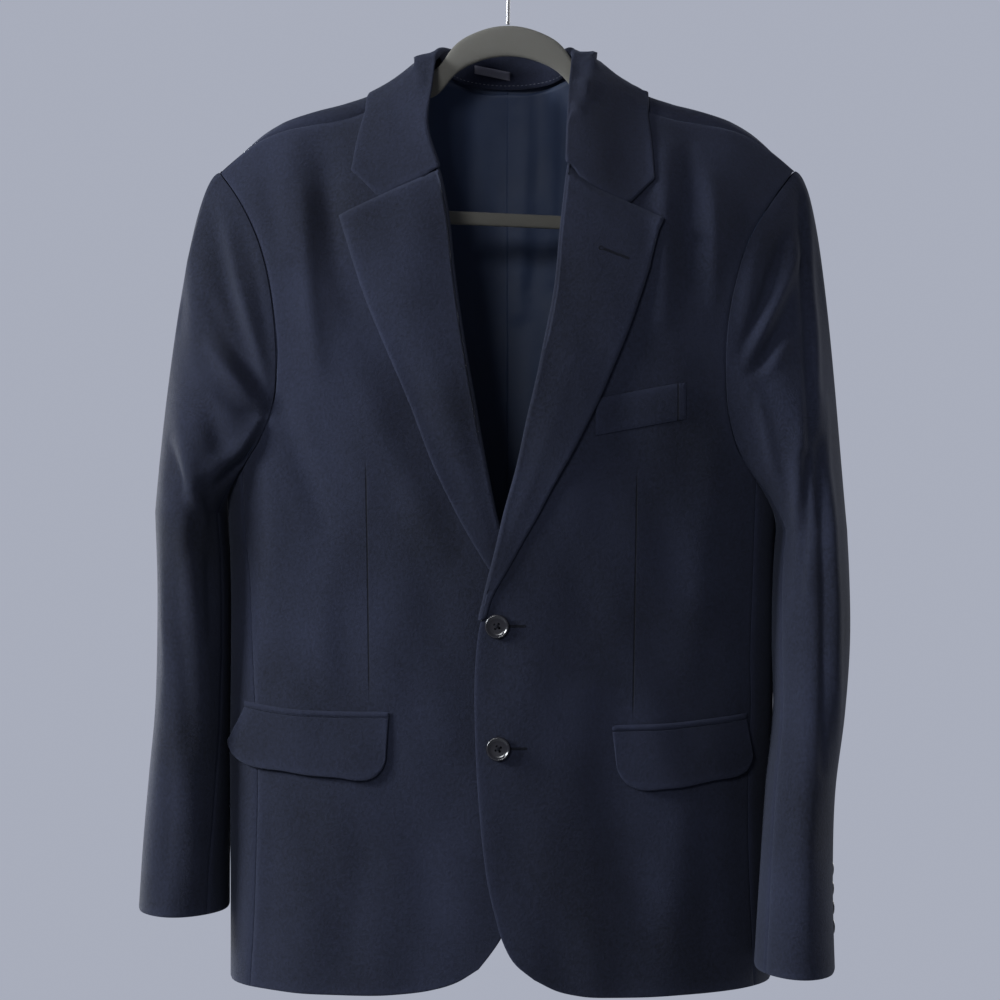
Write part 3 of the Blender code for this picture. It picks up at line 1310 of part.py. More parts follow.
# ---------------------------------------------------------------- lining and loop
LINING_COLUMNS = 8  # columns of each back that the lining covers
LINING_LOW = 0.014  # the lining ends this far above the hem
LINING_UNDER_NECK = 0.0060  # and this far under the back's neck edge
LINING_GAP = 0.0016  # air between the lining and the back
LINING_BEHIND = -0.022  # over the shoulders it ends this way behind the ridge
LOOP_FROM = (-0.0290, -0.1065)
LOOP_TO = (0.0020, -0.1120)
LOOP_WIDTH = 0.0075
LOOP_COLUMNS = 6


def lining_half(side, back):
    """A back's own columns moved in, from above its hem to under its neck edge."""
    way = back_domain(side)[0][..., 1]
    inward = back_inward(side)
    inward[:, 0, 0] = 0
    columns = []
    for j in range(LINING_COLUMNS):
        low = way[0, j] + LINING_LOW
        high = min(way[-1, j] - LINING_UNDER_NECK, LINING_BEHIND)
        wanted = low + (way[:, j] - way[0, j]) * (high - low) / (way[-1, j] - way[0, j])
        inner = back[:, j] + inward[:, j] * (CLOTH + LINING_GAP)
        columns.append(np.stack([np.interp(wanted, way[:, j], inner[:, k]) for k in range(3)], 1))
    return np.stack(columns, 1)


def make_lining(grids):
    right = lining_half("right", grids["back_right"])
    left = lining_half("left", grids["back_left"])
    outer = np.concatenate([right[:, ::-1], left[:, 1:]], 1)
    wall("back_lining", outer, THIN_CLOTH, "satin")


def make_loop():
    """The hanging loop: a short strip on the neck side of the collar's stand."""
    stand = piece_tree(bpy.data.objects["collar"])
    rows = []
    for share in np.linspace(0, 1, LOOP_COLUMNS):
        x = LOOP_FROM[0] + (LOOP_TO[0] - LOOP_FROM[0]) * share
        z = LOOP_FROM[1] + (LOOP_TO[1] - LOOP_FROM[1]) * share
        rows.append([(x, z - LOOP_WIDTH), (x, z)])
    grid = []
    for pair in rows:
        line = []
        for x, z in pair:
            place, normal, _, _ = stand.ray_cast(Vector((x, 0.0, z)), Vector((0, 1, 0)))
            line.append(np.array(place + normal * (CLEAR + THIN_CLOTH)))
        grid.append(line)
    grid = np.array(grid)
    wall("neck_loop", grid, THIN_CLOTH, "tape", np.zeros(grid.shape) + np.array([0, 1.0, 0]))


# ---------------------------------------------------------------- buttons
def piece_tree(piece):
    bpy.context.view_layer.update()
    return bvhtree.BVHTree.FromObject(piece, bpy.context.evaluated_depsgraph_get())


def turned(name, profile, place, axis, segments, finish):
    """A turned solid: radius and height rows, standing on a place along an axis."""
    axis = np.array(axis, float) / np.linalg.norm(axis)
    side = np.cross(axis, [0.0, 0.0, 1.0])
    side = side / np.linalg.norm(side)
    other = np.cross(axis, side)
    vertices = []
    faces = []
    rings = []
    for radius, height in profile:
        middle = np.array(place) + axis * height
        if radius == 0:
            rings.append([len(vertices)])
            vertices.append(middle)
            continue
        ring = []
        for k in range(segments):
            a = 2 * math.pi * k / segments
            ring.append(len(vertices))
            vertices.append(middle + radius * (side * math.cos(a) + other * math.sin(a)))
        rings.append(ring)
    for low, high in zip(rings, rings[1:]):
        for k in range(segments):
            n = (k + 1) % segments
            if len(low) == 1:
                faces.append((low[0], high[k], high[n]))
            elif len(high) == 1:
                faces.append((low[k], low[n], high[0]))
            else:
                faces.append((low[k], low[n], high[n], high[k]))
    return new_object(name, vertices, faces, finish)


def button_profile(radius, thick):
    return (
        (0, 0),
        (radius * 0.80, 0),
        (radius, thick * 0.35),
        (radius, thick * 0.70),
        (radius * 0.93, thick),
        (radius * 0.82, thick * 0.96),
        (radius * 0.70, thick * 0.68),
        (0, thick * 0.64),
    )


def seat(cloth_piece, start, way):
    """Where a ray meets a piece, with the face's outward direction."""
    place, normal, _, _ = piece_tree(cloth_piece).ray_cast(Vector(start), Vector(way))
    return np.array(place), np.array(normal)


def make_buttons():
    front = bpy.data.objects["front_left"]
    for name, x, z in FRONT_BUTTONS:
        place, normal = seat(front, (x, -0.5, z), (0, 1, 0))
        profile = button_profile(FRONT_BUTTON_RADIUS, FRONT_BUTTON_THICK)
        turned(name, profile, place + normal * BUTTON_SHANK, normal, FRONT_BUTTON_SEGMENTS, "horn")
    for side in ("right", "left"):
        sleeve = bpy.data.objects[f"sleeve_{side}_upper"]
        cuff_z = SLEEVE[side][0][0]
        angle = math.radians(CUFF_BUTTON_ANGLE[side])
        for k, height in enumerate(CUFF_BUTTON_HEIGHTS):
            z = cuff_z + height
            middle = np.array([column(SLEEVE[side], SLEEVE_COLUMNS, n, z) for n in "xy"])
            way = sleeve_ring(side, angle, z)[:2] - middle
            start = (*(middle + way * 3), z)
            place, normal = seat(sleeve, start, (*(-way), 0))
            profile = button_profile(CUFF_BUTTON_RADIUS, CUFF_BUTTON_THICK)
            name = f"cuff_button_{side}_{k + 1}"
            foot = place + normal * BUTTON_SHANK
            turned(name, profile, foot, normal, CUFF_BUTTON_SEGMENTS, "horn")


# ---------------------------------------------------------------- hanger
def swept(name, centres, halves_in_plane, half_thick, power, around, finish, closed, upright=0):
    """A bar along a path in the hanger's plane, with a rounded section, upright near the neck."""
    centres = np.array(centres, float)
    count = len(centres)
    vertices = []
    for i in range(count):
        before = centres[i - 1] if closed or i else centres[i]
        after = centres[(i + 1) % count] if closed or i < count - 1 else centres[i]
        way = (after - before) / np.linalg.norm(after - before)
        across = np.array([-way[1], way[0]])
        if abs(centres[i][0]) < upright and across[1] > 0:
            across = np.array([0.0, 1.0])
        for k in range(around):
            a = 2 * math.pi * (k + 0.5) / around
            c = math.copysign(abs(math.cos(a)) ** power, math.cos(a)) * halves_in_plane[i]
            s = math.copysign(abs(math.sin(a)) ** power, math.sin(a)) * half_thick
            point = centres[i] + across * c
            vertices.append((point[0], s, point[1]))
    faces = []
    for i in range(count if closed else count - 1):
        for k in range(around):
            a = i * around + k
            b = i * around + (k + 1) % around
            c = ((i + 1) % count) * around + (k + 1) % around
            d = ((i + 1) % count) * around + k
            faces.append((a, b, c, d))
    if not closed:
        faces.append(tuple(range(around)))
        faces.append(tuple((count - 1) * around + k for k in range(around - 1, -1, -1)))
    return new_object(name, vertices, faces, finish)


def hanger_top(x):
    """Top line of the hanger: its own curve at the neck, just under the cloth beyond."""
    own = column(HANGER, HANGER_COLUMNS, "top_z", np.abs(x))
    level = own.copy()
    for side in ("right", "left"):
        trees = [piece_tree(bpy.data.objects[n + side]) for n in ("back_", "front_")]
        for k, at in enumerate(x):
            if at * SIGN[side] < HANGER_UNDER_FROM:
                continue
            hits = []
            for y in (-HANGER_THICK / 2, 0.0, HANGER_THICK / 2):
                start = Vector((at, y, shoulder_z(at) - 0.03))
                hits += [t.ray_cast(start, Vector((0, 0, 1)))[0] for t in trees]
            level[k] = min(hit[2] for hit in hits if hit) - HANGER_CLEAR
    return level


def make_hanger():
    arm = np.linspace(*HANGER_ARM, HANGER_ARM_SECTIONS)
    x = np.concatenate([-arm[::-1], [0.0], arm])
    width = column(HANGER, HANGER_COLUMNS, "width", np.abs(x))
    level = hanger_top(x)
    slope = np.gradient(level, x) * (np.abs(x) > HANGER_UPRIGHT_TO)
    below = width / 2 * np.sqrt(1 + slope**2)
    top = [(float(a), float(b)) for a, b in zip(x, level - below)]
    slope = math.tan(HANGER_BAR_TILT)
    bar_x = np.linspace(HANGER_BAR_HALF, -HANGER_BAR_HALF, HANGER_BAR_SECTIONS)
    bar = [(float(a), float(HANGER_BAR_Z - slope * a)) for a in bar_x]
    ends = {}
    for sign, tip, foot in ((1, top[-1], bar[0]), (-1, top[0], bar[-1])):
        way = [tip] + [(sign * a, tip[1] + drop) for a, drop in HANGER_BENDS]
        way += [(sign * HANGER_LAST_BEND[0], foot[1] + HANGER_LAST_BEND[1]), foot]
        shares = np.linspace(0, 1, HANGER_END_SECTIONS + 2)
        ends[sign] = [tuple(p) for p in curve_through(way, shares)[1:-1]]
    path = top + ends[1] + bar + ends[-1][::-1]
    halves = list(width / 2)
    start = width[-1] / 2
    end = HANGER_BAR_WIDTH / 2
    halves += list(np.linspace(start, end, HANGER_END_SECTIONS + 2)[1:-1])
    halves += [end] * len(bar)
    halves += list(np.linspace(end, start, HANGER_END_SECTIONS + 2)[1:-1])
    section = (HANGER_THICK / 2, HANGER_SQUARENESS, HANGER_AROUND)
    swept("hanger", path, halves, *section, "flock", True, HANGER_UPRIGHT_TO)


def hook_path():
    """Centre line of the wire, from the stem's foot up and over to its free end."""
    radius = HOOK_INNER + HOOK_WIRE / 2
    middle_z = -HOOK_INNER
    points = [(0.0, HOOK_STEM_FOOT)] + list(HOOK_STEM)
    for degrees in range(*HOOK_TURN):
        a = math.radians(degrees)
        points.append((radius * math.cos(a), middle_z + radius * math.sin(a)))
    return points


def make_hook():
    path = hook_path()
    half = HOOK_WIRE / 2
    swept("hanger_hook", path, [half] * len(path), half, 1.0, HOOK_AROUND, "steel", False)


# ---------------------------------------------------------------- build
for old in list(bpy.data.objects):
    bpy.data.objects.remove(old)

panels = panel_grids("right") | panel_grids("left")
make_panels(panels)
make_sleeves()
make_lapels(panels)
make_collar(panels)
make_pockets(panels)
make_lining(panels)
make_loop()
make_buttons()
make_hanger()
make_hook()
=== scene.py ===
"""Looks of a navy two-button blazer that hangs, buttoned, on a slim flocked hanger.

Metres, +Z up, the front faces -Y and +X is the wearer's left. Each cloth piece is a thin shell
on the form of its solid, worked out from the same sizes on a finer grid, with the smaller
creases, seams, darts and stitches added. Tables inside mm() are written in millimetres.
"""

import math

import bmesh
import bpy
import numpy as np
from mathutils import Matrix, Vector, bvhtree


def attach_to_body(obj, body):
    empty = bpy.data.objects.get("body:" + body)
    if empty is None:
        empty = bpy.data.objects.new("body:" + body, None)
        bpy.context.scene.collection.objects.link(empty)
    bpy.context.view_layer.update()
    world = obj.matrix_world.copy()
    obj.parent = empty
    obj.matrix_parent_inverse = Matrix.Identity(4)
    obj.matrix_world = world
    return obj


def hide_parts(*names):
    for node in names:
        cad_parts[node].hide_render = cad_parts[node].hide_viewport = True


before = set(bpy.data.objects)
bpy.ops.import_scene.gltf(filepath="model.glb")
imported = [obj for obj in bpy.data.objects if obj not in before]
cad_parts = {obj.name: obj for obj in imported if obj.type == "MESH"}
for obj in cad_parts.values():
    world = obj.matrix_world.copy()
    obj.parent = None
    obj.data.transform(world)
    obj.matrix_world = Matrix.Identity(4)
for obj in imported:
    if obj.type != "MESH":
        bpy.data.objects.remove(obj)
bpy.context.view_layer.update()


def mm(sizes):
    """Sizes written in millimetres, in a table of any depth, as metres."""
    if isinstance(sizes, dict):
        return {name: mm(part) for name, part in sizes.items()}
    if isinstance(sizes, tuple):
        return tuple(mm(part) for part in sizes)
    return round(sizes / 1000, 7)


# ---------------------------------------------------------------- sizes and tables
SIDES = ("right", "left")  # the wearer's
SIGN = {"right": -1.0, "left": 1.0}
CLOTH = 0.0018  # wall of the shell cloth with its canvas
DOUBLE_CLOTH = 0.0018  # wall of lapel, collar and flaps, two layers pressed together
THIN_CLOTH = 0.0012  # wall of welt, jets and lining
CLEAR = 0.0004  # air between layers that lie on each other

SECTION_POWER = 2.4  # roundness of the body's horizontal rings
RIDGE_RADIUS = 0.012  # rounding along the top of the shoulders
RIDGE_REACH = 0.130  # drop below the shoulder in which the body fills out
NECK_BACK = mm(((0, -124), (22, -123), (46, -118.5)))  # x and z, from the middle out
NECK_BACK_TURN = (0.885, -0.0135)  # its last place: share of the neck point's x, way back
NECK_WIDTH = 0.056  # half width of the back neck's curve
NECK_FADE = 0.014  # way behind the ridge in which the neck's fullness begins
NECK_SHARE = 0.56  # how far back the back neck stands, as a share of the back's depth
HEM_Z = -0.887
BACK_HEM_RISE = 0.020  # the hem is this much higher at the centre back
CENTRE_LIFT = 0.0070  # the left front lies over the right front and its lapel
CENTRE_LIFT_WIDTH = 0.100
CENTRE_LIFT_Z = (-0.25, -0.42)  # heights between which that sets in
COLLAR_ROLL = 0.0033  # outer radius of the collar's roll
CLEAR_ROUNDS = 2  # times that a piece is raised off the cloth under it
CURVE_STEPS = 40  # fine steps of a curve for each of its points
FOLD_STEPS = 8  # straight steps along a fold
ARMHOLE_STEPS = 400
MIDDLE_SHARE = 0.3  # a panel's middle is taken this far out, to tell its outer face
SEAM_SIDE_GAP = -0.0003  # collar and lapel overlap by twice this along the gorge


# Half widths and depths of the body at heights. From the photograph's side edges; the
# depths from a chest girth of about 1.1 m.
BODY_COLUMNS = ("z", "half_right", "half_left", "front", "back")
BODY = mm((
    (-900, 235, 222.5, 94, 85), (-800, 235.2, 222, 91, 80), (-700, 235.8, 223.8, 88, 75),
    (-610, 234.8, 225, 85.5, 70.5), (-560, 235, 225, 85, 70), (-517, 236.2, 226, 86, 71.5),
    (-475, 238.4, 230.6, 87.5, 74), (-420, 245, 241, 89.5, 77.5), (-360, 256, 253, 91.5, 80),
    (-300, 268, 266, 92.5, 81), (-240, 280, 279, 92.5, 81), (-180, 288, 288, 92.5, 81),
    (-80, 290, 290, 92.5, 81),
))

# Top line of the shoulders over the hanger.
SHOULDER_COLUMNS = ("x", "z")
SHOULDER = mm((
    (0, -96), (40, -98), (58, -103.5), (75, -113.5), (95, -128.5), (113, -139), (140, -148.5),
    (165, -155), (195, -166), (210, -174.5), (226, -187), (243, -202), (260, -218),
))

# Armholes, from the shoulder seam's end down the front, round under the arm and up the back:
# x and z of each point.
ARMHOLE_FRONT = mm({
    "right": (
        (244.5, -207.5), (226, -233), (208.6, -267.7), (199, -300), (193.2, -337), (191.2, -372),
        (194, -404), (205, -433), (221.5, -457),
    ),
    "left": (
        (243, -207.5), (220, -236.1), (199, -271), (188.7, -301.9), (181.2, -339), (179.2, -377.5),
        (181, -412), (189, -442), (206, -468),
    ),
})
ARMHOLE_BACK = mm(((223, -444), (209, -405), (203, -350), (206, -295), (219, -245), (236, -212)))
UNDERARM_Z = mm({"right": -469, "left": -482})

# Roll line, front edge and hem corner, as seen from the front: x and z.
FRONT_EDGE = mm({
    "right": (
        (-24.2, -863.4), (-14.5, -851.3), (-5.7, -838.4), (3.1, -816.6), (7.1, -799.6),
        (11.2, -769), (15.2, -725.4), (17.6, -687.4), (18, -640), (16.5, -600), (11, -572),
        (3, -542), (-10.2, -504.1), (-17.8, -468.5), (-27.6, -414.2), (-39.9, -340.6),
        (-45.9, -295.4), (-50.3, -253), (-56, -222.8),
    ),
    "left": (
        (20.2, -870.7), (4, -856.6), (-5.7, -838.4), (-12.1, -816.6), (-16.1, -799.6),
        (-20.2, -769), (-24.2, -725.4), (-26.6, -687.4), (-27.5, -649.4), (-26.6, -617.1),
        (-24, -590), (-19, -570), (-12.8, -542.8), (-3.2, -501.7), (6.2, -468.5), (17.9, -418.2),
        (29.3, -365.1), (39.3, -313.5), (44.6, -260.8), (50.8, -209),
    ),
})
BREAK_Z = mm({"right": -572, "left": -582.4})
NECK_EDGE = mm({
    "right": ((-72, -174.7), (-75.5, -148)),
    "left": ((56, -174), (66, -148)),
})
NECK_POINT_X = mm({"right": -76, "left": 71.5})
HEM_CURVE = mm({
    "right": ((-41.2, -873.9), (-64, -881), (-96, -885), (-140, -886.8)),
    "left": ((38.8, -880.4), (58.1, -884.9), (85.6, -887), (130, -887)),
})
SIDE_SEAM_COLUMNS = ("z", "x")
SIDE_SEAM = mm({
    "right": (
        (-887, 214), (-828, 210.1), (-780, 208.5), (-709, 207.6), (-651, 210.5), (-589, 214.3),
        (-546, 216.8), (-510, 221.5), (-450, 226),
    ),
    "left": (
        (-887, 204), (-845, 202.2), (-764, 198.9), (-700, 199.5), (-655, 201.8), (-614, 201.8),
        (-568, 204.3), (-510, 208), (-450, 212),
    ),
})
BACK_SEAM = mm((
    (-887, 172), (-800, 168), (-700, 164), (-600, 165), (-500, 182), (-440, 199), (-400, 205),
))
SHOULDER_SEAM_ENDS = 0.010  # the seam lies this far forward of the ridge at neck and sleeve
SHOULDER_SEAM_BOW = 0.100  # and bows further forward between

# Folds, as soft ridges (+) and troughs (-): x and z of the line's three points in the front
# view, then the fold's half width and its rise from the cloth. The largest are in the solids too.
FOLD_FADE = 0.12  # how faint a fold is at its ends
FOLD_FADE_POWER = 0.8
FOLD_OVER = (0.010, 0.040)  # way over the shoulder in which the front's folds set in
FOLD_HEAD_SHARE = 2 / 7  # share of the sleeve's head in which its folds set in
FOLD_FACING = (0.15, 0.60)  # how squarely a sleeve faces the front, or back, where they set in
FRONT_FOLDS = mm((
    (-185, -200, -172, -275, -160, -360, 16, 4.5), (-160, -190, -146, -250, -126, -315, 13, -4),
    (-202, -222, -195, -245, -190, -270, 9, -2.5), (-160, -350, -110, -440, -30, -560, 34, 3.5),
    (-148, -545, -150, -590, -146, -640, 11, 1.8), (-166, -760, -168, -820, -165, -880, 22, 4),
    (130, -180, 132, -230, 128, -330, 14, 4), (139, -250, 150, -280, 158, -320, 11, -3.5),
    (170, -220, 174, -250, 172, -290, 12, 3), (140, -740, 134, -800, 132, -880, 26, 4.5),
    (60, -640, 85, -700, 95, -800, 30, -2.5),
    # finer creases, which only show close to
    (-192, -400, -174, -445, -150, -505, 11, -4.8), (-150, -210, -146, -280, -128, -335, 10, -2.6),
    (-130, -370, -98, -440, -56, -520, 14, 2.6), (-92, -350, -66, -420, -40, -480, 13, -3),
    (-205, -440, -196, -500, -200, -560, 10, 1.6), (-171, -228, -165, -300, -156, -375, 7, 2.6),
    (-120, -300, -104, -370, -70, -460, 16, -1.4), (-90, -560, -100, -640, -92, -720, 22, 1.2),
    (-60, -700, -72, -770, -66, -860, 20, -1.6), (-200, -720, -196, -780, -200, -870, 10, -1.6),
    (-130, -740, -120, -790, -128, -850, 12, -1.2), (152, -186, 150, -240, 146, -320, 7, -2.6),
    (129, -196, 129, -260, 126, -340, 7, 2.2), (168, -215, 170, -262, 168, -320, 6, 2.2),
    (112, -460, 130, -540, 128, -640, 18, -1.4), (168, -460, 160, -540, 150, -620, 14, 1.6),
    (30, -600, 55, -650, 70, -720, 16, 1.4), (180, -720, 176, -790, 180, -870, 12, 2),
    (158, -750, 160, -810, 156, -870, 12, -2), (70, -740, 62, -800, 70, -860, 16, 1.4),
))
BACK_FOLDS = mm((
    (-120, -190, -135, -300, -150, -400, 22, 4), (115, -190, 138, -310, 150, -410, 22, 3.8),
    (-85, -260, -100, -380, -90, -520, 26, -3.5), (80, -280, 94, -390, 100, -500, 26, -3.5),
    (-110, -620, -100, -740, -105, -880, 30, 5), (100, -640, 112, -760, 110, -880, 30, 5),
    # finer creases, which only show close to
    (-150, -210, -162, -270, -176, -340, 10, 2.2), (148, -205, 164, -270, 172, -345, 11, 2),
    (-60, -150, -66, -190, -60, -240, 16, -1.8), (58, -152, 62, -190, 66, -235, 15, -1.8),
    (-160, -420, -140, -470, -120, -500, 14, 2.4), (162, -430, 144, -478, 116, -510, 13, 2.2),
    (-150, -500, -126, -540, -90, -560, 12, -2), (150, -515, 120, -550, 86, -566, 12, -1.8),
    (-40, -520, -46, -640, -40, -780, 18, -2), (44, -560, 40, -660, 46, -800, 18, -1.8),
    (-150, -700, -154, -780, -150, -870, 12, -2.2), (150, -690, 148, -780, 154, -870, 13, -2.2),
))

# Sleeve rings below the armhole, from bicep to cuff: centre, half sizes across and fore-aft.
SLEEVE_COLUMNS = ("z", "x", "y", "across", "deep", "fore_seam", "hind_seam")
SLEEVE = {
    "right": (
        (-0.83, -0.2752, 0.002, 0.038, 0.052, 132.0, 318.0),
        (-0.78, -0.2735, 0.003, 0.0365, 0.0545, 134.0, 318.0),
        (-0.72, -0.27, 0.005, 0.035, 0.058, 138.0, 316.0),
        (-0.66, -0.2672, 0.008, 0.0325, 0.062, 144.0, 314.0),
        (-0.6, -0.2665, 0.009, 0.0315, 0.064, 148.0, 312.0),
        (-0.55, -0.2665, 0.007, 0.031, 0.0655, 150.0, 310.0),
        (-0.495, -0.2688, 0.004, 0.03, 0.065, 150.0, 308.0),
    ),
    "left": (
        (-0.864, 0.2326, -0.0765, 0.0322, 0.0525, 148.0, 336.0),
        (-0.83, 0.2333, -0.075, 0.0305, 0.054, 148.0, 334.0),
        (-0.78, 0.2352, -0.071, 0.0285, 0.0565, 150.0, 330.0),
        (-0.72, 0.2395, -0.062, 0.0275, 0.0595, 152.0, 326.0),
        (-0.66, 0.2487, -0.046, 0.0285, 0.062, 154.0, 322.0),
        (-0.6, 0.2525, -0.031, 0.0315, 0.0635, 154.0, 318.0),
        (-0.55, 0.254, -0.02, 0.0312, 0.0645, 154.0, 314.0),
        (-0.51, 0.2552, -0.013, 0.0292, 0.064, 152.0, 310.0),
    ),
}
SLEEVE_FORE_SEAM = 0.42  # where the two seams leave the armhole, as shares of its length
SLEEVE_HIND_SEAM = 0.78
SLEEVE_HEAD_SWELL = 0.020  # the head swells out over the armhole by this much
SLEEVE_HEAD_LEAST = 0.004  # and at least by this much under the arm
SLEEVE_HEAD_SHARE = 0.3  # reach of the head's bend, as a share of its length
UNDERARM_ASIDE = 0.35  # how far aside the sleeve leaves the armhole's bottom
LEAVE_DOWN = 1.15  # and how far down
SLEEVE_START = 0.00044  # the sleeve starts this far out of the armhole
SLEEVE_START_LIFT = 0.0004
SLEEVE_START_ASIDE = 0.0003
BICEP_STEP = 0.020  # the arm's own line is taken over this drop
ARRIVE_STRAIGHT = 0.50  # how directly the head falls to the bicep, against the arm's own line
SLEEVE_FOLDS = mm({
    "right": (
        (-246, -250, -232, -320, -203, -392, 9, -6), (-240, -235, -222, -300, -200, -376, 8, 3.5),
        (-243, -360, -226, -385, -206, -405, 8, 4), (-203, -410, -222, -440, -246, -465, 9, 4.5),
        (-252, -405, -240, -430, -236, -450, 11, -6), (-290, -445, -280, -465, -268, -480, 9, -4),
        (-276, -520, -272, -590, -262, -680, 11, -5),
        # finer creases, which only show close to
        (-226, -228, -211, -282, -198, -345, 4.8, -3),
        (-234, -262, -218, -325, -198, -390, 4.5, 2.2),
        (-262, -250, -262, -320, -254, -390, 11, 3), (-250, -318, -230, -356, -206, -388, 5.5, -3),
        (-248, -354, -226, -383, -201, -403, 5, 2.6),
        (-236, -398, -214, -413, -200, -412, 5.5, -3.4),
        (-200, -412, -218, -436, -240, -456, 5, 3),
        (-205, -438, -224, -454, -241, -472, 4.5, -5.2),
        (-272, -420, -262, -470, -268, -520, 8, 3.4),
        (-284, -436, -274, -462, -263, -490, 5, -3.2), (-262, -480, -250, -500, -244, -530, 6, 4),
        (-250, -470, -246, -520, -247, -600, 4.8, -3.4),
        (-292, -540, -286, -600, -290, -660, 7, 1.8), (-258, -560, -252, -620, -250, -700, 7, 1.8),
        (-284, -680, -280, -740, -286, -810, 8, -1.6),
        (-262, -720, -258, -770, -262, -820, 8, 1.4),
    ),
    "left": (
        (225, -280, 212, -325, 196, -360, 9, -5), (240, -270, 218, -325, 198, -370, 8, 3.5),
        (232, -320, 214, -360, 206, -385, 8, -4.5), (222, -455, 226, -490, 232, -530, 10, -4),
        (246, -240, 248, -350, 246, -440, 8, 3.5),
        # finer creases, which only show close to
        (214, -255, 200, -290, 190, -335, 6, 3), (230, -262, 212, -315, 192, -360, 5, -3),
        (244, -276, 222, -325, 198, -362, 4.8, 2.8), (228, -340, 210, -366, 196, -378, 4.5, -3),
        (230, -356, 212, -380, 196, -392, 4.5, 2.4), (205, -400, 214, -440, 224, -480, 5, 2.6),
        (238, -430, 238, -500, 242, -560, 6, 3.4), (212, -480, 214, -500, 214, -520, 4, -4.2),
        (246, -225, 247, -330, 246, -460, 4, -4.6), (252, -225, 254, -330, 256, -430, 4.5, 3),
        (243, -450, 242, -500, 238, -560, 4.2, -4.4), (262, -400, 264, -540, 266, -700, 5, 3.6),
        (254, -440, 255, -560, 250, -700, 5, -4), (228, -600, 226, -680, 222, -760, 7, -1.8),
        (240, -700, 236, -770, 234, -840, 8, 1.8),
    ),
})
# Folds on the back of both sleeves, as on the left one.
SLEEVE_FOLDS_BACK = mm((
    (262, -300, 246, -380, 228, -450, 11, -5), (285, -560, 268, -600, 250, -630, 12, -4.5),
    (250, -590, 268, -640, 286, -680, 12, 4),
    # finer creases, which only show close to
    (246, -240, 236, -300, 226, -370, 10, 2.6), (270, -400, 256, -440, 238, -470, 8, 2.4),
    (244, -520, 262, -548, 282, -560, 7, -3), (282, -600, 266, -640, 248, -660, 7, 2.8),
    (256, -700, 260, -760, 256, -820, 8, -2),
))

# Collar, by stations from the right front end round the back to the left front end.
COLLAR_COLUMNS = (
    "place", "seam_x", "seam_y", "seam_z", "roll_x", "roll_y", "roll_z", "edge_x", "edge_z",
    "edge_back",
)
COLLAR = (
    (0.0, -0.059, -0.049, -0.2075, -0.0563, -0.058, -0.2112, -0.13, -0.2115, 0.0),
    (0.1, -0.0685, -0.035, -0.172, -0.0668, -0.0436, -0.1747, -0.1262, -0.185, 0.0),
    (0.2, -0.0675, -0.018, -0.136, -0.064, -0.027, -0.1386, -0.1205, -0.161, 0.0),
    (0.29, -0.0597, 0.002, -0.1072, -0.0585, 0.002, -0.1022, -0.1145, -0.143, 0.5),
    (0.38, -0.0455, 0.033, -0.121, -0.0435, 0.034, -0.095, -0.085, -0.148, 1.0),
    (0.5, 0.0, 0.0475, -0.127, 0.0, 0.0485, -0.093, 0.0, -0.15, 1.0),
    (0.62, 0.0445, 0.033, -0.121, 0.0425, 0.034, -0.0955, 0.084, -0.15, 1.0),
    (0.71, 0.055, 0.002, -0.1062, 0.0535, 0.002, -0.102, 0.1145, -0.1465, 0.5),
    (0.8, 0.059, -0.018, -0.136, 0.051, -0.027, -0.1386, 0.1175, -0.165, 0.0),
    (0.9, 0.053, -0.035, -0.172, 0.049, -0.044, -0.1747, 0.12, -0.19, 0.0),
    (1.0, 0.0505, -0.049, -0.203, 0.0476, -0.058, -0.2068, 0.1217, -0.2194, 0.0),
)
# The gorge seam between collar and lapel, from the roll to the notch.
GORGE = mm({
    "right": ((-56.3, -212.8), (-72.5, -220.2), (-105.4, -235)),
    "left": ((47.6, -208.8), (70, -228), (97.9, -240.9)),
})
GORGE_SHARES = (0.0, 0.20, 0.45, 0.72, 1.0)

# Lapels: outer edges from the bottom up to the point beside the notch.
LAPEL_EDGE = mm({
    "right": (
        (-2, -562), (-16.5, -539.7), (-58.5, -463.7), (-80.9, -406.5), (-98.8, -363.3),
        (-115.1, -323.4), (-138.3, -250),
    ),
    "left": (
        (-18, -579.5), (-14.1, -565.5), (-1.6, -541.2), (18.2, -506.5), (41.6, -463.7),
        (78.7, -390.2), (90.1, -364.1), (110.5, -309.6), (127.9, -253.1),
    ),
})
COLLAR_LIFT = 0.0006  # the collar's fall stands this much off the cloth
LAPEL_RISE = 0.0026  # the lapel's free edge stands this much off the front
LAPEL_RETURN = 0.0140  # how far the facing turns in behind the roll

# Flaps: x positions of the ends, heights of top and bottom, and how far the end stands off.
FLAP_COLUMNS = ("share", "top_x", "top_z", "low_x", "low_z", "off")
FLAP = {
    "right": (
        (0.0, -0.0968, -0.6612, -0.099, -0.701, 0.001),
        (0.06, -0.104, -0.6614, -0.106, -0.7075, 0.0014),
        (0.35, -0.142, -0.6618, -0.142, -0.7098, 0.0022),
        (0.65, -0.178, -0.6608, -0.18, -0.7065, 0.0022),
        (0.94, -0.211, -0.6572, -0.221, -0.6985, 0.005),
        (1.0, -0.218, -0.656, -0.227, -0.6925, 0.007),
    ),
    "left": (
        (0.0, 0.0842, -0.6725, 0.0872, -0.707, 0.001),
        (0.06, 0.091, -0.6723, 0.095, -0.714, 0.0014),
        (0.35, 0.129, -0.6716, 0.13, -0.719, 0.0022), (0.65, 0.162, -0.669, 0.165, -0.714, 0.0022),
        (0.94, 0.19, -0.666, 0.195, -0.707, 0.0024), (1.0, 0.196, -0.665, 0.2, -0.702, 0.0024),
    ),
}
JET_HEIGHT = 0.0050
POCKET_CLEAR = 0.0008
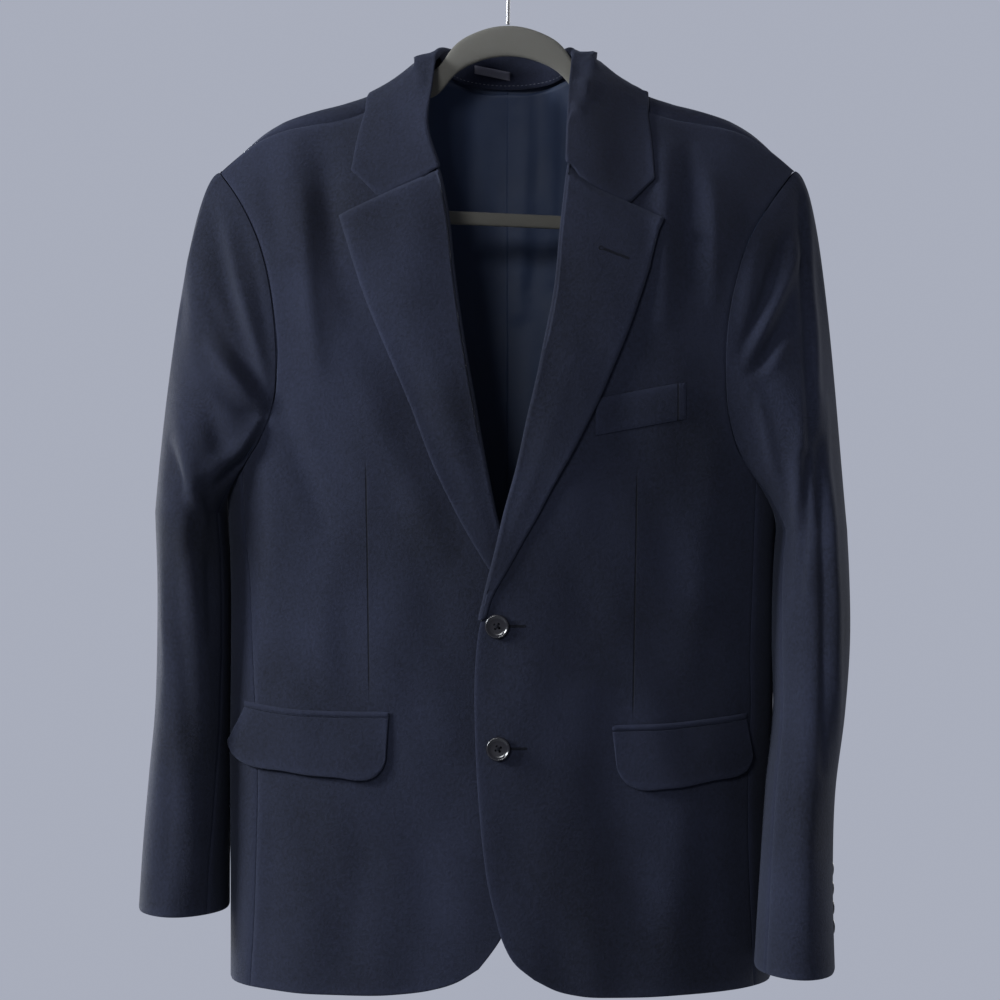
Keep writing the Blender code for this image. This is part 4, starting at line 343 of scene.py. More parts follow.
# Breast welt: lower corners, then upper ones.
WELT = mm(((70, -432.5), (144.7, -418.7), (70, -402.5), (144.7, -388.2)))
LEAST_FILL = 0.3  # a cut piece fills at least this share of its width by length
WELT_LENGTH = 0.085  # lengths that the pieces' grids are spaced for
WELT_DEPTH = 0.032
FLAP_LENGTH = 0.13
FLAP_DEPTH = 0.045
STRIP_LEAST = 0.0105  # a folded strip was cut at least this wide

FRONT_BUTTON_RADIUS = 0.0098
FRONT_BUTTON_THICK = 0.0036
FRONT_BUTTONS = (
    ("front_button_upper", -0.0092, -0.5866), ("front_button_lower", -0.0081, -0.6852))
BUTTON_SHANK = 0.0003  # air under a button
CUFF_BUTTON_RADIUS = 0.0075
CUFF_BUTTON_THICK = 0.0030
CUFF_BUTTON_HEIGHTS = (0.030, 0.0455, 0.061, 0.0765)  # above the cuff's edge
CUFF_BUTTON_ANGLE = {"right": -34.0, "left": -14.0}

# Long soft waves of the whole cloth: how many a metre across and down, their shift in radians,
# and their height.
RIPPLES = (
    (11.0, 3.1, 0.4, 0.00055), (17.0, -4.3, 2.1, 0.0004), (7.3, 6.1, 4.4, 0.0005),
    (24.0, 8.7, 1.3, 0.00022), (5.1, 13.3, 3.0, 0.0003),
)

CELL = 0.0042  # usual spacing of the grids
EDGE_STEPS = (0.0, 0.0006, 0.0014, 0.0026, 0.0042)  # and their first steps in from an edge
SEAM_DIP = 0.0007  # cloth turns in this far at a sewn seam
SEAM_SOFT = 0.0018  # within about this distance
EDGE_DIP = 0.0006  # turned edges are rounded by this much
EDGE_SOFT = 0.0010
WEAR_AND_SHINE_SOFT = 0.0060  # reach of the wear and painted shine beside seams and edges


def dense(length, start=True, end=True):
    """Shares along a length: even steps, with finer ones at the ends that are sewn or turned."""
    even = np.linspace(0, 1, max(int(length / CELL), 3) + 1)
    near = np.array(EDGE_STEPS) / length
    reach = near[-1] + 0.5 * CELL / length
    kept = even[(even > (reach if start else 0)) & (even < 1 - (reach if end else 0))]
    first = near if start else np.zeros(1)
    last = (1 - near)[::-1] if end else np.ones(1)
    return np.concatenate([first, kept, last])


# Columns and rows of the grids, spaced for lengths like those of the pieces.
NECK_SHARES = dense(0.075, end=False)
SHOULDER_SHARES = dense(0.200)
LOW_SHARES = dense(0.430, end=False)
ARM_FRONT_SHARES = dense(0.290, end=False)
UNDER_SHARES = dense(0.075)
ARM_BACK_SHARES = dense(0.260, start=False)
SLEEVE_UPPER_SHARES = dense(0.330)
SLEEVE_UNDER_SHARES = dense(0.190)
HEAD_SHARES = dense(0.280, end=False)
ARM_SHARES = dense(0.360, start=False)
SEAM_TURN_IN = ((0.0016, 0.0036), (0.0008, 0.0012))  # rows that turn the sleeve in at its seam
NECK_COLUMNS = len(NECK_SHARES) - 1
NECK_HEM_SHARE = 1 / 3  # share of a back's hem under its neck

ROLL_MARGIN = 0.006  # the roll's rows keep off its two ends by a third of this
ROLL_ANGLES = np.radians(np.linspace(-90, 90, 11))  # round the lapel's roll
GORGE_FINE = np.linspace(0, 1, 24)
TIP_FINE = np.linspace(0, 1, 12)[1:, None]
LAPEL_RISE_Z = (-0.55, -0.44)  # heights between which the lapel's free edge lifts off
COLLAR_PLACES = np.concatenate([np.linspace(0, 0.29, 44)[:-1], np.linspace(0.29, 0.71, 60),
                                np.linspace(0.71, 1, 44)[1:]])
COLLAR_TURNS = 9  # rows round the collar's roll
COLLAR_STAND_ROWS = 10
COLLAR_END_BLEND = 0.22  # the fall bends to the gorge within this share of the collar
FALL_MARKS = (0.0, 0.12, 0.26, 0.44, 0.64, 0.83, 1.0)  # places of the gorge's points on the fall
FALL_FINE = dense(0.055, start=False)[1:]
NECK_REACH = 0.005  # the cloth is carried on by this much inside the neck, under the collar
NECK_STITCH_FROM = 0.37  # the neck seam's stitches show between this place and its mirror
FLAP_CORNER = 0.008  # radius of a flap's lower corners
JET_PUFF = 0.0006
WELT_PUFF = 0.0005
LINING_HEM_SHARE = 7 / 12  # the lining reaches this share of the way to the side
LINING_LOW = 0.014  # it ends this far above the hem
LINING_UNDER_NECK = 0.0060  # and this far under the neck edge
LINING_GAP = 0.0016  # air between it and the back
LINING_BEHIND = -0.022  # its top stays this far behind the shoulder's ridge
# Folds of the lining in the neck: the columns are those of the body's folds.
LINING_FOLDS = mm((
    (30, -125, 33, -200, 19, -300, 3.5, -2.4), (16, -130, 17, -200, 10, -320, 7.5, 3),
    (46, -130, 47, -200, 42, -290, 5.5, 3), (-20, -140, -24, -260, -16, -400, 9, 1.6),
    (-46, -150, -44, -230, -40, -320, 6, 1.8), (24, -320, 20, -420, 22, -560, 10, 2.2),
    (-30, -420, -20, -520, -26, -640, 12, 2),
))
PLEAT_STEP = 0.0022  # the centre pleat's fold
PLEAT_SOFT = 0.0008
PLEAT_BACK = 0.030  # it fades between these places
PLEAT_FLAT = 0.004
LINING_FOLDS_Z = (-0.86, -0.80)  # heights between which the lining's folds set in
LOOP_FROM = (-0.0290, -0.1065)
LOOP_TO = (0.0020, -0.1120)
LOOP_WIDTH = 0.0075
LOOP_SAG = 0.0012
LOOP_PUFF = 0.0005

# A button's section: shares of its radius and thickness, from the axis below to the axis above.
BUTTON_PROFILE = (
    (0, 0), (0.62, 0), (0.8, 0.03), (0.92, 0.16), (0.985, 0.36), (1.0, 0.56), (0.99, 0.76),
    (0.955, 0.93), (0.91, 1.0), (0.865, 0.985), (0.825, 0.92), (0.785, 0.8), (0.72, 0.69),
    (0.58, 0.645), (0, 0.62),
)
BUTTON_SEGMENTS = 56
DISH_HEIGHT = 0.62
HOLE_RADIUS = 0.100  # shares of the button's radius
HOLE_AWAY = 0.235
THREAD_RADIUS = 0.034
BUTTON_TURNS = (0.15, -0.30)  # radians by which the front buttons are turned
CUFF_BUTTON_TURN = 0.6  # each cuff button is turned this much further
THREAD_REACH = 1.02  # half length of a strand, against the way to the holes
THREAD_PITCH = 1.5  # strands lie this many radii apart
THREAD_SUNK = 0.22  # and start this far under the dish, as a share of the thickness
THREAD_ARCHES = (0.34, 0.44)  # rise of the lower and of the upper strands
STRAND_TIP = 0.35  # thickness of a strand's ends
STRAND_TAPER = 0.4
HOLE_REACH = 0.0225  # a front buttonhole shows this far from its button's centre
HOLE_BEHIND = 0.002  # and its eye starts this far behind
HOLE_HALF = 0.0006  # half width of a buttonhole
HOLE_EYE = 0.0013
LAPEL_HOLE = ((0.0756, -0.2788), (0.0982, -0.2872))
LAPEL_HOLE_EYE = 0.0016
HOLE_STITCH = {"Spacing": 0.00034, "Length": 0.0012, "Thickness": 0.00036, "Turn": math.pi / 2}
LAPEL_HOLE_STITCH = {
    "Spacing": 0.00034, "Length": 0.0011, "Thickness": 0.00034, "Turn": math.pi / 2}
NECK_STITCH = {"Spacing": 0.0036, "Length": 0.0021, "Thickness": 0.0004, "Turn": 0.0}
NECK_STITCH_OUT = (0.0, -1.0, 0.1)  # the way in which they face, and how far they stand off
NECK_STITCH_OFF = 0.0001
QUAD_FACE_ANGLE = 0.7  # limits within which the hanger's triangles are joined in pairs
QUAD_SHAPE_ANGLE = 1.2
HANGER_LEVELS = 2

# Sewn lines, as x and z of both ends; the welt's, on its cut, is the stitching by its end. Each is
# a shallow groove darkened with painted shade.
DARTS = {"right": (-0.116, -0.449, -0.113, -0.649), "left": (0.105, -0.4576, 0.1013, -0.6653)}
WELT_LINE = (0.0702, -0.05, 0.0702, 0.08)
SEWN_LINE = 0.0011  # half width of the groove along a sewn line
SEWN_DEPTH = 4.0  # its depth, against the weave's
SEWN_SHADE = 0.25  # its painted shade, against the dark yarn's colour
SEWN_SHOWS = 0.85
LINE_FADE = 0.02  # way in which a sewn line fades at its ends

TWILL_SCALE = 620.0  # ribs about 0.5 mm apart
YARN_SCALE = 1500.0
FUZZ_SCALE = 420.0
CLOUD_SCALE = 9.0
SATIN_SCALE = 520.0  # the lining's ribs and puckers
PUCKER_SCALE = 26.0
SATIN_ROUGHNESS = 0.46
SATIN_SPECULAR = 0.10
RIB_BUMP = (0.3, 0.0001)
PUCKER_BUMP = (0.22, 0.004)
WOOL_DARK = (0.0009, 0.0012, 0.0027)
WOOL_LIGHT = (0.0074, 0.0090, 0.0182)
WOOL_ROUGHNESS = 1.0
WOOL_SPECULAR = 0.13
WOOL_SHEEN = 0.022
WOOL_SHEEN_TINT = (0.50, 0.62, 0.95, 1)
WOOL_MIX = (0.26, 0.416, 0.95, 0.9)  # weights of ribs, yarn, fuzz and cloud in the light colour
WOOL_MIX_START = -0.775
WOOL_RELIEF = (0.6, 0.5)  # weights of ribs and yarn in the relief
WEAVE_BUMP = (0.55, 0.00022)  # strength and distance
NAP_BUMP = (0.35, 0.0012)
EDGE_WEAR_AND_SHINE = 0.09  # how much of the lighter colour, for wear and a painted highlight, shows on seams and edges
WORN_AND_SHINE_LIGHT = 2.2  # and that colour of wear and painted shine, against the light yarn's
SATIN_DARK = (0.0048, 0.0080, 0.0180)
SATIN_LIGHT = (0.0110, 0.0172, 0.0360)

# The photograph: 1000 pixels a side, pixels of 0.85 mm at the hanger, seen from 1.8 m.
PHOTO_SIDE = 1000
PIXEL = 0.00085
CAMERA_SENSOR = 36.0
CAMERA_AWAY = 1.8
CAMERA_X = -0.0068
CAMERA_Z = -0.4847
WORLD_COLOUR = (0.79, 0.84, 1.0)
WORLD_STRENGTH = 0.50
FLOOR_Z = -1.75
FLOOR_HALF = 2.5
FLOOR_DARK = (0.26, 0.27, 0.29)
FLOOR_LIGHT = (0.31, 0.32, 0.34)
# Lamps: name, place, where aimed, energy, colour and size.
LAMPS = (
    ("window_left", (-2.55, -0.80, 0.60), (0, 0, -0.40), 290.0, (0.90, 0.95, 1.0), 0.8),
    ("window_front", (-0.9, -2.7, 0.60), (0, 0, -0.4), 84.0, (0.94, 0.97, 1.0), 0.7),
    ("room_behind", (-2.0, 2.2, -0.3), (0, 0, -0.5), 150.0, (0.95, 0.97, 1.0), 1.2),
    ("room_right", (2.5, 1.2, 0.1), (0, 0, -0.5), 80.0, (0.97, 0.98, 1.0), 1.4),
)


# ---------------------------------------------------------------- forms shared with the solids
def smooth(knots, values, at):
    """Smooth curve through the values at the knots, read at any places."""
    knots = np.asarray(knots, float)
    values = np.asarray(values, float)
    at = np.clip(np.asarray(at, float), knots[0], knots[-1])
    slopes = np.gradient(values, knots)
    i = np.clip(np.searchsorted(knots, at, side="right") - 1, 0, len(knots) - 2)
    span = knots[i + 1] - knots[i]
    t = (at - knots[i]) / span
    return (
        values[i] * (2 * t**3 - 3 * t**2 + 1)
        + slopes[i] * span * (t**3 - 2 * t**2 + t)
        + values[i + 1] * (3 * t**2 - 2 * t**3)
        + slopes[i + 1] * span * (t**3 - t**2)
    )


def column(table, columns, name, at):
    """A table's named column, read smoothly along its first column."""
    rows = np.array(table)
    return smooth(rows[:, 0], rows[:, columns.index(name)], at)


def step_lengths(line):
    return np.linalg.norm(np.diff(line, axis=0), axis=1)


def run_of(line):
    """Lengths along a line of points, from its first."""
    return np.concatenate([[0.0], np.cumsum(step_lengths(line))])


def unit_rows(rows):
    return rows / np.maximum(np.linalg.norm(rows, axis=-1, keepdims=True), 1e-12)


def read_along(at, places, rows):
    """Rows of values that stand at some places, read straight between them."""
    return np.stack([np.interp(at, places, values) for values in rows.T], 1)


def curve_through(points, shares):
    """Points of a smooth curve through the given ones, at shares of its length."""
    points = np.array(points, float)
    places = run_of(points)
    fine_at = np.linspace(0, places[-1], CURVE_STEPS * len(points))
    fine = np.stack([smooth(places, values, fine_at) for values in points.T], 1)
    run = run_of(fine)
    return read_along(np.asarray(shares, float) * run[-1], run, fine)


def step_between(low, high, at):
    """Smooth rise from 0 at low to 1 at high."""
    t = np.clip((np.asarray(at, float) - low) / (high - low), 0, 1)
    return t * t * (3 - 2 * t)


def ripple(x, z):
    """The whole cloth's faint long waves at places of the front view."""
    total = np.zeros(np.broadcast(x, z).shape)
    for across, down, shift, height in RIPPLES:
        total = total + height * np.sin(2 * math.pi * (across * x + down * z) + shift)
    return total


def bent(first, middle, last, t):
    """A soft bend through three values."""
    return (1 - t) ** 2 * first + 2 * t * (1 - t) * (2 * middle - (first + last) / 2) + t**2 * last


def fold_height(x, z, folds):
    """Sum of the folds' heights at places of the front view."""
    total = ripple(x, z)
    for x0, z0, x1, z1, x2, z2, width, height in folds:
        t = np.linspace(0, 1, FOLD_STEPS + 1)
        line_x, line_z = bent(x0, x1, x2, t), bent(z0, z1, z2, t)
        best = np.full(total.shape, 1e9)
        along = np.zeros(total.shape)
        for k in range(FOLD_STEPS):
            dx = line_x[k + 1] - line_x[k]
            dz = line_z[k + 1] - line_z[k]
            share = ((x - line_x[k]) * dx + (z - line_z[k]) * dz) / (dx * dx + dz * dz)
            share = np.clip(share, 0, 1)
            away = (x - line_x[k] - share * dx) ** 2 + (z - line_z[k] - share * dz) ** 2
            along = np.where(away < best, (k + share) / FOLD_STEPS, along)
            best = np.minimum(best, away)
        fade = np.sin(np.pi * (FOLD_FADE + (1 - 2 * FOLD_FADE) * along)) ** FOLD_FADE_POWER
        total = total + height * fade * np.exp(-best / width**2)
    return total


def shoulder_z(x):
    return column(SHOULDER, SHOULDER_COLUMNS, "z", np.abs(x))


def body(name, z):
    return column(BODY, BODY_COLUMNS, name, z)


def half_width(z, x_sign):
    return np.where(x_sign < 0, body("half_right", z), body("half_left", z))


def fill(drop):
    """How far the body has filled out at a drop below the shoulder line."""
    run = np.sqrt(np.maximum(drop, 0) ** 2 + 2 * RIDGE_RADIUS * np.maximum(drop, 0))
    return 1 - np.exp(-run / RIDGE_REACH)


def round_share(x, z):
    """The ring's depth at x as a share of its depth at the middle."""
    reach = np.clip(np.abs(x) / half_width(z, np.sign(x)), 0, 1)
    return (1 - reach**SECTION_POWER) ** (1 / SECTION_POWER)


def depth_front(x, z, share):
    base = body("front", z) * share * fill(shoulder_z(x) - z)
    return base + fold_height(x, z, FRONT_FOLDS) * np.sqrt(np.clip(share, 0, 1))


def depth_back(x, z, share):
    drop = np.maximum(shoulder_z(x) - z, 0)
    filled = fill(drop)
    behind = 1 - np.exp(-(drop**2 + 2 * RIDGE_RADIUS * drop) / NECK_FADE**2)
    neck = NECK_SHARE * behind * np.exp(-((np.abs(x) / NECK_WIDTH) ** 4))
    filled = filled + (1 - filled) * neck
    folds = fold_height(x, z, BACK_FOLDS) * np.sqrt(np.clip(share, 0, 1))
    return body("back", z) * share * filled + folds


def ring_point(angle, z):
    """Body point at a ring angle (0 front centre, negative on the right side) and height."""
    angle, z = np.broadcast_arrays(np.asarray(angle, float), np.asarray(z, float))
    side = np.where(angle < 0, -1.0, 1.0)
    x = side * half_width(z, side) * np.abs(np.sin(angle)) ** (2 / SECTION_POWER)
    share = np.abs(np.cos(angle)) ** (2 / SECTION_POWER)
    y = np.where(np.cos(angle) >= 0, -depth_front(x, z, share), depth_back(x, z, share))
    return np.stack([x, y, z], -1)


def ring_angle(x, z, back=False):
    """Ring angle of the body point that shows at x, z."""
    reach = np.clip(np.abs(x) / half_width(z, np.sign(x)), 0, 1)
    angle = np.arcsin(reach ** (SECTION_POWER / 2))
    angle = np.pi - angle if back else angle
    return np.where(np.asarray(x) < 0, -angle, angle)


def over_point(x, over):
    """Body point at x and a way over the shoulder: positive to the front, negative behind."""
    x, over = np.broadcast_arrays(np.asarray(x, float), np.asarray(over, float))
    z = shoulder_z(x) - np.sqrt(over**2 + RIDGE_RADIUS**2) + RIDGE_RADIUS
    share = round_share(x, z)
    front = body("front", z) * share * (1 - np.exp(-over / RIDGE_REACH))
    front = front + fold_height(x, z, FRONT_FOLDS) * step_between(*FOLD_OVER, over)
    y = np.where(over > 0, -front, depth_back(x, z, share))
    return np.stack([x, y, z], -1)


def over_way(x, z):
    """The way behind the shoulder at which the body reaches height z."""
    drop = np.maximum(shoulder_z(x) - z, 0)
    return -np.sqrt(drop**2 + 2 * RIDGE_RADIUS * drop)


ANGLE_STEP = 0.01  # steps on which normals are measured
WAY_STEP = 0.002


def normal_of(surface, a, b, step_a, step_b):
    """Unit normals of a surface of two parameters."""
    along_a = surface(a + step_a, b) - surface(a - step_a, b)
    along_b = surface(a, b + step_b) - surface(a, b - step_b)
    return unit_rows(np.cross(along_a, along_b))


def centre_lift(x, z):
    """Extra height of the left front where it lies over the right one."""
    return CENTRE_LIFT * step_between(CENTRE_LIFT_WIDTH, 0.0, x) * step_between(*CENTRE_LIFT_Z, z)


def coons(bottom, top, left, right):
    """Grid between four boundary rows; left and right run up, bottom and top run across."""
    across = step_lengths(bottom) + step_lengths(top)
    upward = step_lengths(left) + step_lengths(right)
    u = (np.concatenate([[0], np.cumsum(across)]) / across.sum())[None, :, None]
    v = (np.concatenate([[0], np.cumsum(upward)]) / upward.sum())[:, None, None]
    corners = ((1 - u) * (1 - v) * bottom[0] + u * (1 - v) * bottom[-1]
               + (1 - u) * v * top[0] + u * v * top[-1])
    return ((1 - v) * bottom[None] + v * top[None] + (1 - u) * left[:, None]
            + u * right[:, None] - corners)


def grid_normals(grid, closed=False):
    """Unit normals of a grid of points, from its neighbours; a closed one repeats a column."""
    along_v = np.gradient(grid, axis=0)
    along_u = np.gradient(grid, axis=1)
    if closed:
        along_u[:, 0] = along_u[:, -1] = grid[:, 1] - grid[:, -2]
    return unit_rows(np.cross(along_u, along_v))


def outward_normals(grid):
    """Normals of a grid of body points, facing away from the body's middle."""
    normal = grid_normals(grid)
    middle = grid.reshape(-1, 3).mean(0)
    middle[:2] *= MIDDLE_SHARE
    return -normal if ((grid - middle) * normal).sum() < 0 else normal


def cloth_tree(*grids):
    """The outer faces of some grids, for laying other pieces on them."""
    vertices, faces = [], []
    for grid in grids:
        outward = (outward_normals(grid) * grid_normals(grid)).sum() > 0
        quads = grid_quads(*grid.shape[:2], len(vertices))
        faces += (quads if outward else quads[:, ::-1]).tolist()
        vertices += grid.reshape(-1, 3).tolist()
    return bvhtree.BVHTree.FromPolygons(vertices, faces)


def cloth_normals(points, tree):
    """Outward directions of the cloth nearest to some points."""
    flat = [tree.find_nearest(Vector(point))[1] for point in points.reshape(-1, 3)]
    return np.array(flat).reshape(points.shape)


def lay_over(points, tree, out, only_raise=False):
    """Points moved along the cloth's normal until they stand out from it by an amount."""
    flat = points.reshape(-1, 3).copy()
    out = np.broadcast_to(out, points.shape[:-1]).reshape(-1)
    for k, point in enumerate(flat):
        place, normal, _, distance = tree.find_nearest(Vector(point))
        away = (Vector(point) - place).dot(normal)
        past_edge = distance > abs(away) + CLEAR and distance > out[k]
        if not (only_raise and (past_edge or away > out[k])):
            flat[k] = point + np.array(normal) * (out[k] - away)
    return flat.reshape(points.shape)


def widened(grid, columns, rows, reach):
    """A grid with its neck edge carried on: first column above a row, or last row to a column."""
    if columns is None:
        way = unit_rows(grid[:, 0] - grid[:, 1])
        far = np.where(np.arange(len(grid)) >= rows, reach, CLEAR)[:, None]
        return np.concatenate([(grid[:, 0] + way * far)[:, None], grid], 1)
    way = unit_rows(grid[-1] - grid[-2])
    far = np.where(np.arange(grid.shape[1]) <= columns, reach, CLEAR)[:, None]
    return np.concatenate([grid, (grid[-1] + way * far)[None]])


def on_front(x, z, tree, out):
    """Places of the front view laid over the cloth, standing out from it by an amount."""
    return lay_over(ring_point(ring_angle(x, z), z), tree, out)


def keep_clear(grid, tree, out):
    """Raise a grid until its points and the middles of its cells stand clear of the cloth."""
    out = np.broadcast_to(out, grid.shape[:-1])
    halves = (slice(0, -1), slice(1, None))
    corners = [(a, b) for b in halves for a in halves]
    for _ in range(CLEAR_ROUNDS):
        grid = lay_over(grid, tree, out, only_raise=True)
        middle = sum(grid[c] for c in corners) / 4
        level = sum(out[c] for c in corners) / 4 - CLEAR / 2
        push = lay_over(middle, tree, level, only_raise=True) - middle
        raised = np.zeros(grid.shape)
        for c in corners:
            more = np.linalg.norm(push, axis=-1) > np.linalg.norm(raised[c], axis=-1)
            raised[c][more] = push[more]
        grid = grid + raised
    return grid


def armhole_domain(side):
    """The armhole as ring angles and heights, once round from the shoulder seam."""
    sign = SIGN[side]
    points = [(float(ring_angle(sign * x, z)), z) for x, z in ARMHOLE_FRONT[side]]
    points.append((sign * math.pi / 2, UNDERARM_Z[side]))
    points += [(float(ring_angle(sign * x, z, back=True)), z) for x, z in ARMHOLE_BACK]
    return points


def armhole_points(side, shares):
    """Body points on the armhole at shares of the way round, closed over the shoulder."""
    sign = SIGN[side]
    table = [tuple(ring_point(angle, z)) for angle, z in armhole_domain(side)]
    table[0] = tuple(over_point(sign * ARMHOLE_FRONT[side][0][0], SHOULDER_SEAM_ENDS))
    table.append(table[0])
    return curve_through(table, shares)


def armhole_marks(side):
    """Shares of the armhole at which the side panel's two seams leave it."""
    shares = np.linspace(0, 1, ARMHOLE_STEPS)
    points = armhole_points(side, shares)
    front_z = ARMHOLE_FRONT[side][-1][1]
    low = int(np.argmin(points[:, 2]))
    fore = int(np.argmin(np.abs(points[:low, 2] - front_z)))
    hind = low + int(np.argmin(np.abs(points[low:, 2] - ARMHOLE_BACK[1][1])))
    return shares[fore], shares[hind]


def seam_over(share):
    """How far forward of the ridge the shoulder seam lies, from neck to sleeve."""
    return SHOULDER_SEAM_ENDS + SHOULDER_SEAM_BOW * share * (1 - share) ** 2


def ring_inward(points, back=False):
    """Inward directions of the body at seam points, the same for both pieces that meet."""
    angle = ring_angle(points[:, 0], points[:, 2], back=back)
    return -normal_of(ring_point, angle, points[:, 2], ANGLE_STEP, WAY_STEP) * way_out()


def way_out():
    """Sign that turns a ring normal outward."""
    front = normal_of(ring_point, np.array([0.1]), np.array([-0.6]), ANGLE_STEP, WAY_STEP)
    return -1.0 if front[0, 1] > 0 else 1.0


def back_grid(side):
    flat, right, shoulder = back_domain(side)
    points = over_point(flat[..., 0], flat[..., 1])
    points[:, -1] = right
    points[-1, NECK_COLUMNS:] = shoulder
    return points


def back_inward(side):
    """Inward directions of the back, from the surface itself."""
    flat, _, _ = back_domain(side)
    normal = normal_of(over_point, flat[..., 0], flat[..., 1], WAY_STEP, WAY_STEP)
    return -normal if normal[2, 2, 1] > 0 else normal


def sleeve_ring(side, angle, z):
    """Sleeve point at an angle from the outer side, through the front, and a height."""
    cx, cy, across, deep = (
        column(SLEEVE[side], SLEEVE_COLUMNS, name, z) for name in SLEEVE_COLUMNS[1:5])
    x = cx + SIGN[side] * across * np.cos(angle)
    y = cy - deep * np.sin(angle)
    return np.stack(np.broadcast_arrays(x, y, z), -1)


def sleeve_level(side, share, z):
    """Sleeve point at a height and a share of the armhole, held to the two seams."""
    fore, hind = (
        np.radians(column(SLEEVE[side], SLEEVE_COLUMNS, name, z)) for name in SLEEVE_COLUMNS[5:])
    top_start = SLEEVE_HIND_SEAM - 1
    share = np.where(share > SLEEVE_HIND_SEAM, share - 1, share)
    over = (share - top_start) / (SLEEVE_FORE_SEAM - top_start)
    under = (share - SLEEVE_FORE_SEAM) / (SLEEVE_HIND_SEAM - SLEEVE_FORE_SEAM)
    upper_angle = hind - 2 * np.pi + (fore - hind + 2 * np.pi) * over
    under_angle = fore + (hind - fore) * under
    angle = np.where(share <= SLEEVE_FORE_SEAM, upper_angle, under_angle)
    return sleeve_ring(side, angle, z)


def collar_value(name, place):
    return column(COLLAR, COLLAR_COLUMNS, name, place)


# ---------------------------------------------------------------- seams on the fine grids
def armhole_samples(side):
    """Shares of the armhole along the front, under the arm and up the back."""
    fore, hind = armhole_marks(side)
    under = fore + (hind - fore) * UNDER_SHARES
    return fore * ARM_FRONT_SHARES, under, hind + (1 - hind) * ARM_BACK_SHARES


def side_seam_points(side, back):
    """A side panel's seam to the front or the back, from the hem up to the armhole."""
    sign = SIGN[side]
    table = BACK_SEAM if back else SIDE_SEAM[side]
    top = armhole_points(side, [armhole_marks(side)[1 if back else 0]])[0]
    z = HEM_Z + (top[2] - HEM_Z) * LOW_SHARES
    x = sign * column(table, SIDE_SEAM_COLUMNS, "x", z)
    x = x + (top[0] - x[-1]) * LOW_SHARES**4
    points = ring_point(ring_angle(x, z, back=back), z)
    points[-1] = top
    return points


def shoulder_seam_points(side):
    tip = ARMHOLE_FRONT[side][0][0]
    x = NECK_POINT_X[side] + (SIGN[side] * tip - NECK_POINT_X[side]) * SHOULDER_SHARES
    return over_point(x, seam_over(SHOULDER_SHARES))


def shoulder_inward(side):
    points = shoulder_seam_points(side)
    over = seam_over(SHOULDER_SHARES)
    normal = normal_of(over_point, points[:, 0], over, WAY_STEP, WAY_STEP)
    return np.where(normal[:, 2:] > 0, -normal, normal)


# ---------------------------------------------------------------- panels
def front_grid(side):
    """Outer points of a front, bottom to top and from the front edge to the side."""
    front, _, _ = armhole_samples(side)
    low = side_seam_points(side, back=False)
    right = np.concatenate([low, armhole_points(side, front[::-1])[1:]])
    shoulder = shoulder_seam_points(side)
    edge_xz = list(FRONT_EDGE[side]) + list(NECK_EDGE[side]) + [tuple(shoulder[0][[0, 2]])]
    run = run_of(right)
    left_xz = curve_through(edge_xz, run / run[-1])
    hem_xz = [FRONT_EDGE[side][0]] + list(HEM_CURVE[side]) + [(low[0][0], HEM_Z)]
    bottom_xz = curve_through(hem_xz, SHOULDER_SHARES)
    flat = coons(bottom_xz, shoulder[:, [0, 2]], left_xz, right[:, [0, 2]])
    x, z = flat[..., 0], flat[..., 1]
    points = ring_point(ring_angle(x, z), z)
    points[:, -1] = right
    points[-1] = shoulder
    if side == "left":
        normal = normal_of(ring_point, ring_angle(x, z), z, ANGLE_STEP, WAY_STEP)
        points = points + normal * centre_lift(x, z)[..., None]
    return points


def side_grid(side):
    """Outer points of a side panel, bottom to top and from front to back."""
    _, under, _ = armhole_samples(side)
    fore = side_seam_points(side, back=False)
    hind = side_seam_points(side, back=True)
    top = armhole_points(side, under)
    fore_domain = np.stack([ring_angle(fore[:, 0], fore[:, 2]), fore[:, 2]], 1)
    hind_domain = np.stack([ring_angle(hind[:, 0], hind[:, 2], back=True), hind[:, 2]], 1)
    across = UNDER_SHARES[:, None]
    bottom = fore_domain[0] + (hind_domain[0] - fore_domain[0]) * across
    angles = fore_domain[-1, 0] + (hind_domain[-1, 0] - fore_domain[-1, 0]) * UNDER_SHARES
    flat = coons(bottom, np.stack([angles, top[:, 2]], 1), fore_domain, hind_domain)
    points = ring_point(flat[..., 0], flat[..., 1])
    points[:, 0] = fore
    points[:, -1] = hind
    points[-1] = top
    return points


def back_shares():
    """Shares of a back's hem, from the centre seam to the side, at its grid's columns."""
    return np.concatenate([NECK_HEM_SHARE * NECK_SHARES,
                           NECK_HEM_SHARE + (1 - NECK_HEM_SHARE) * SHOULDER_SHARES[1:]])


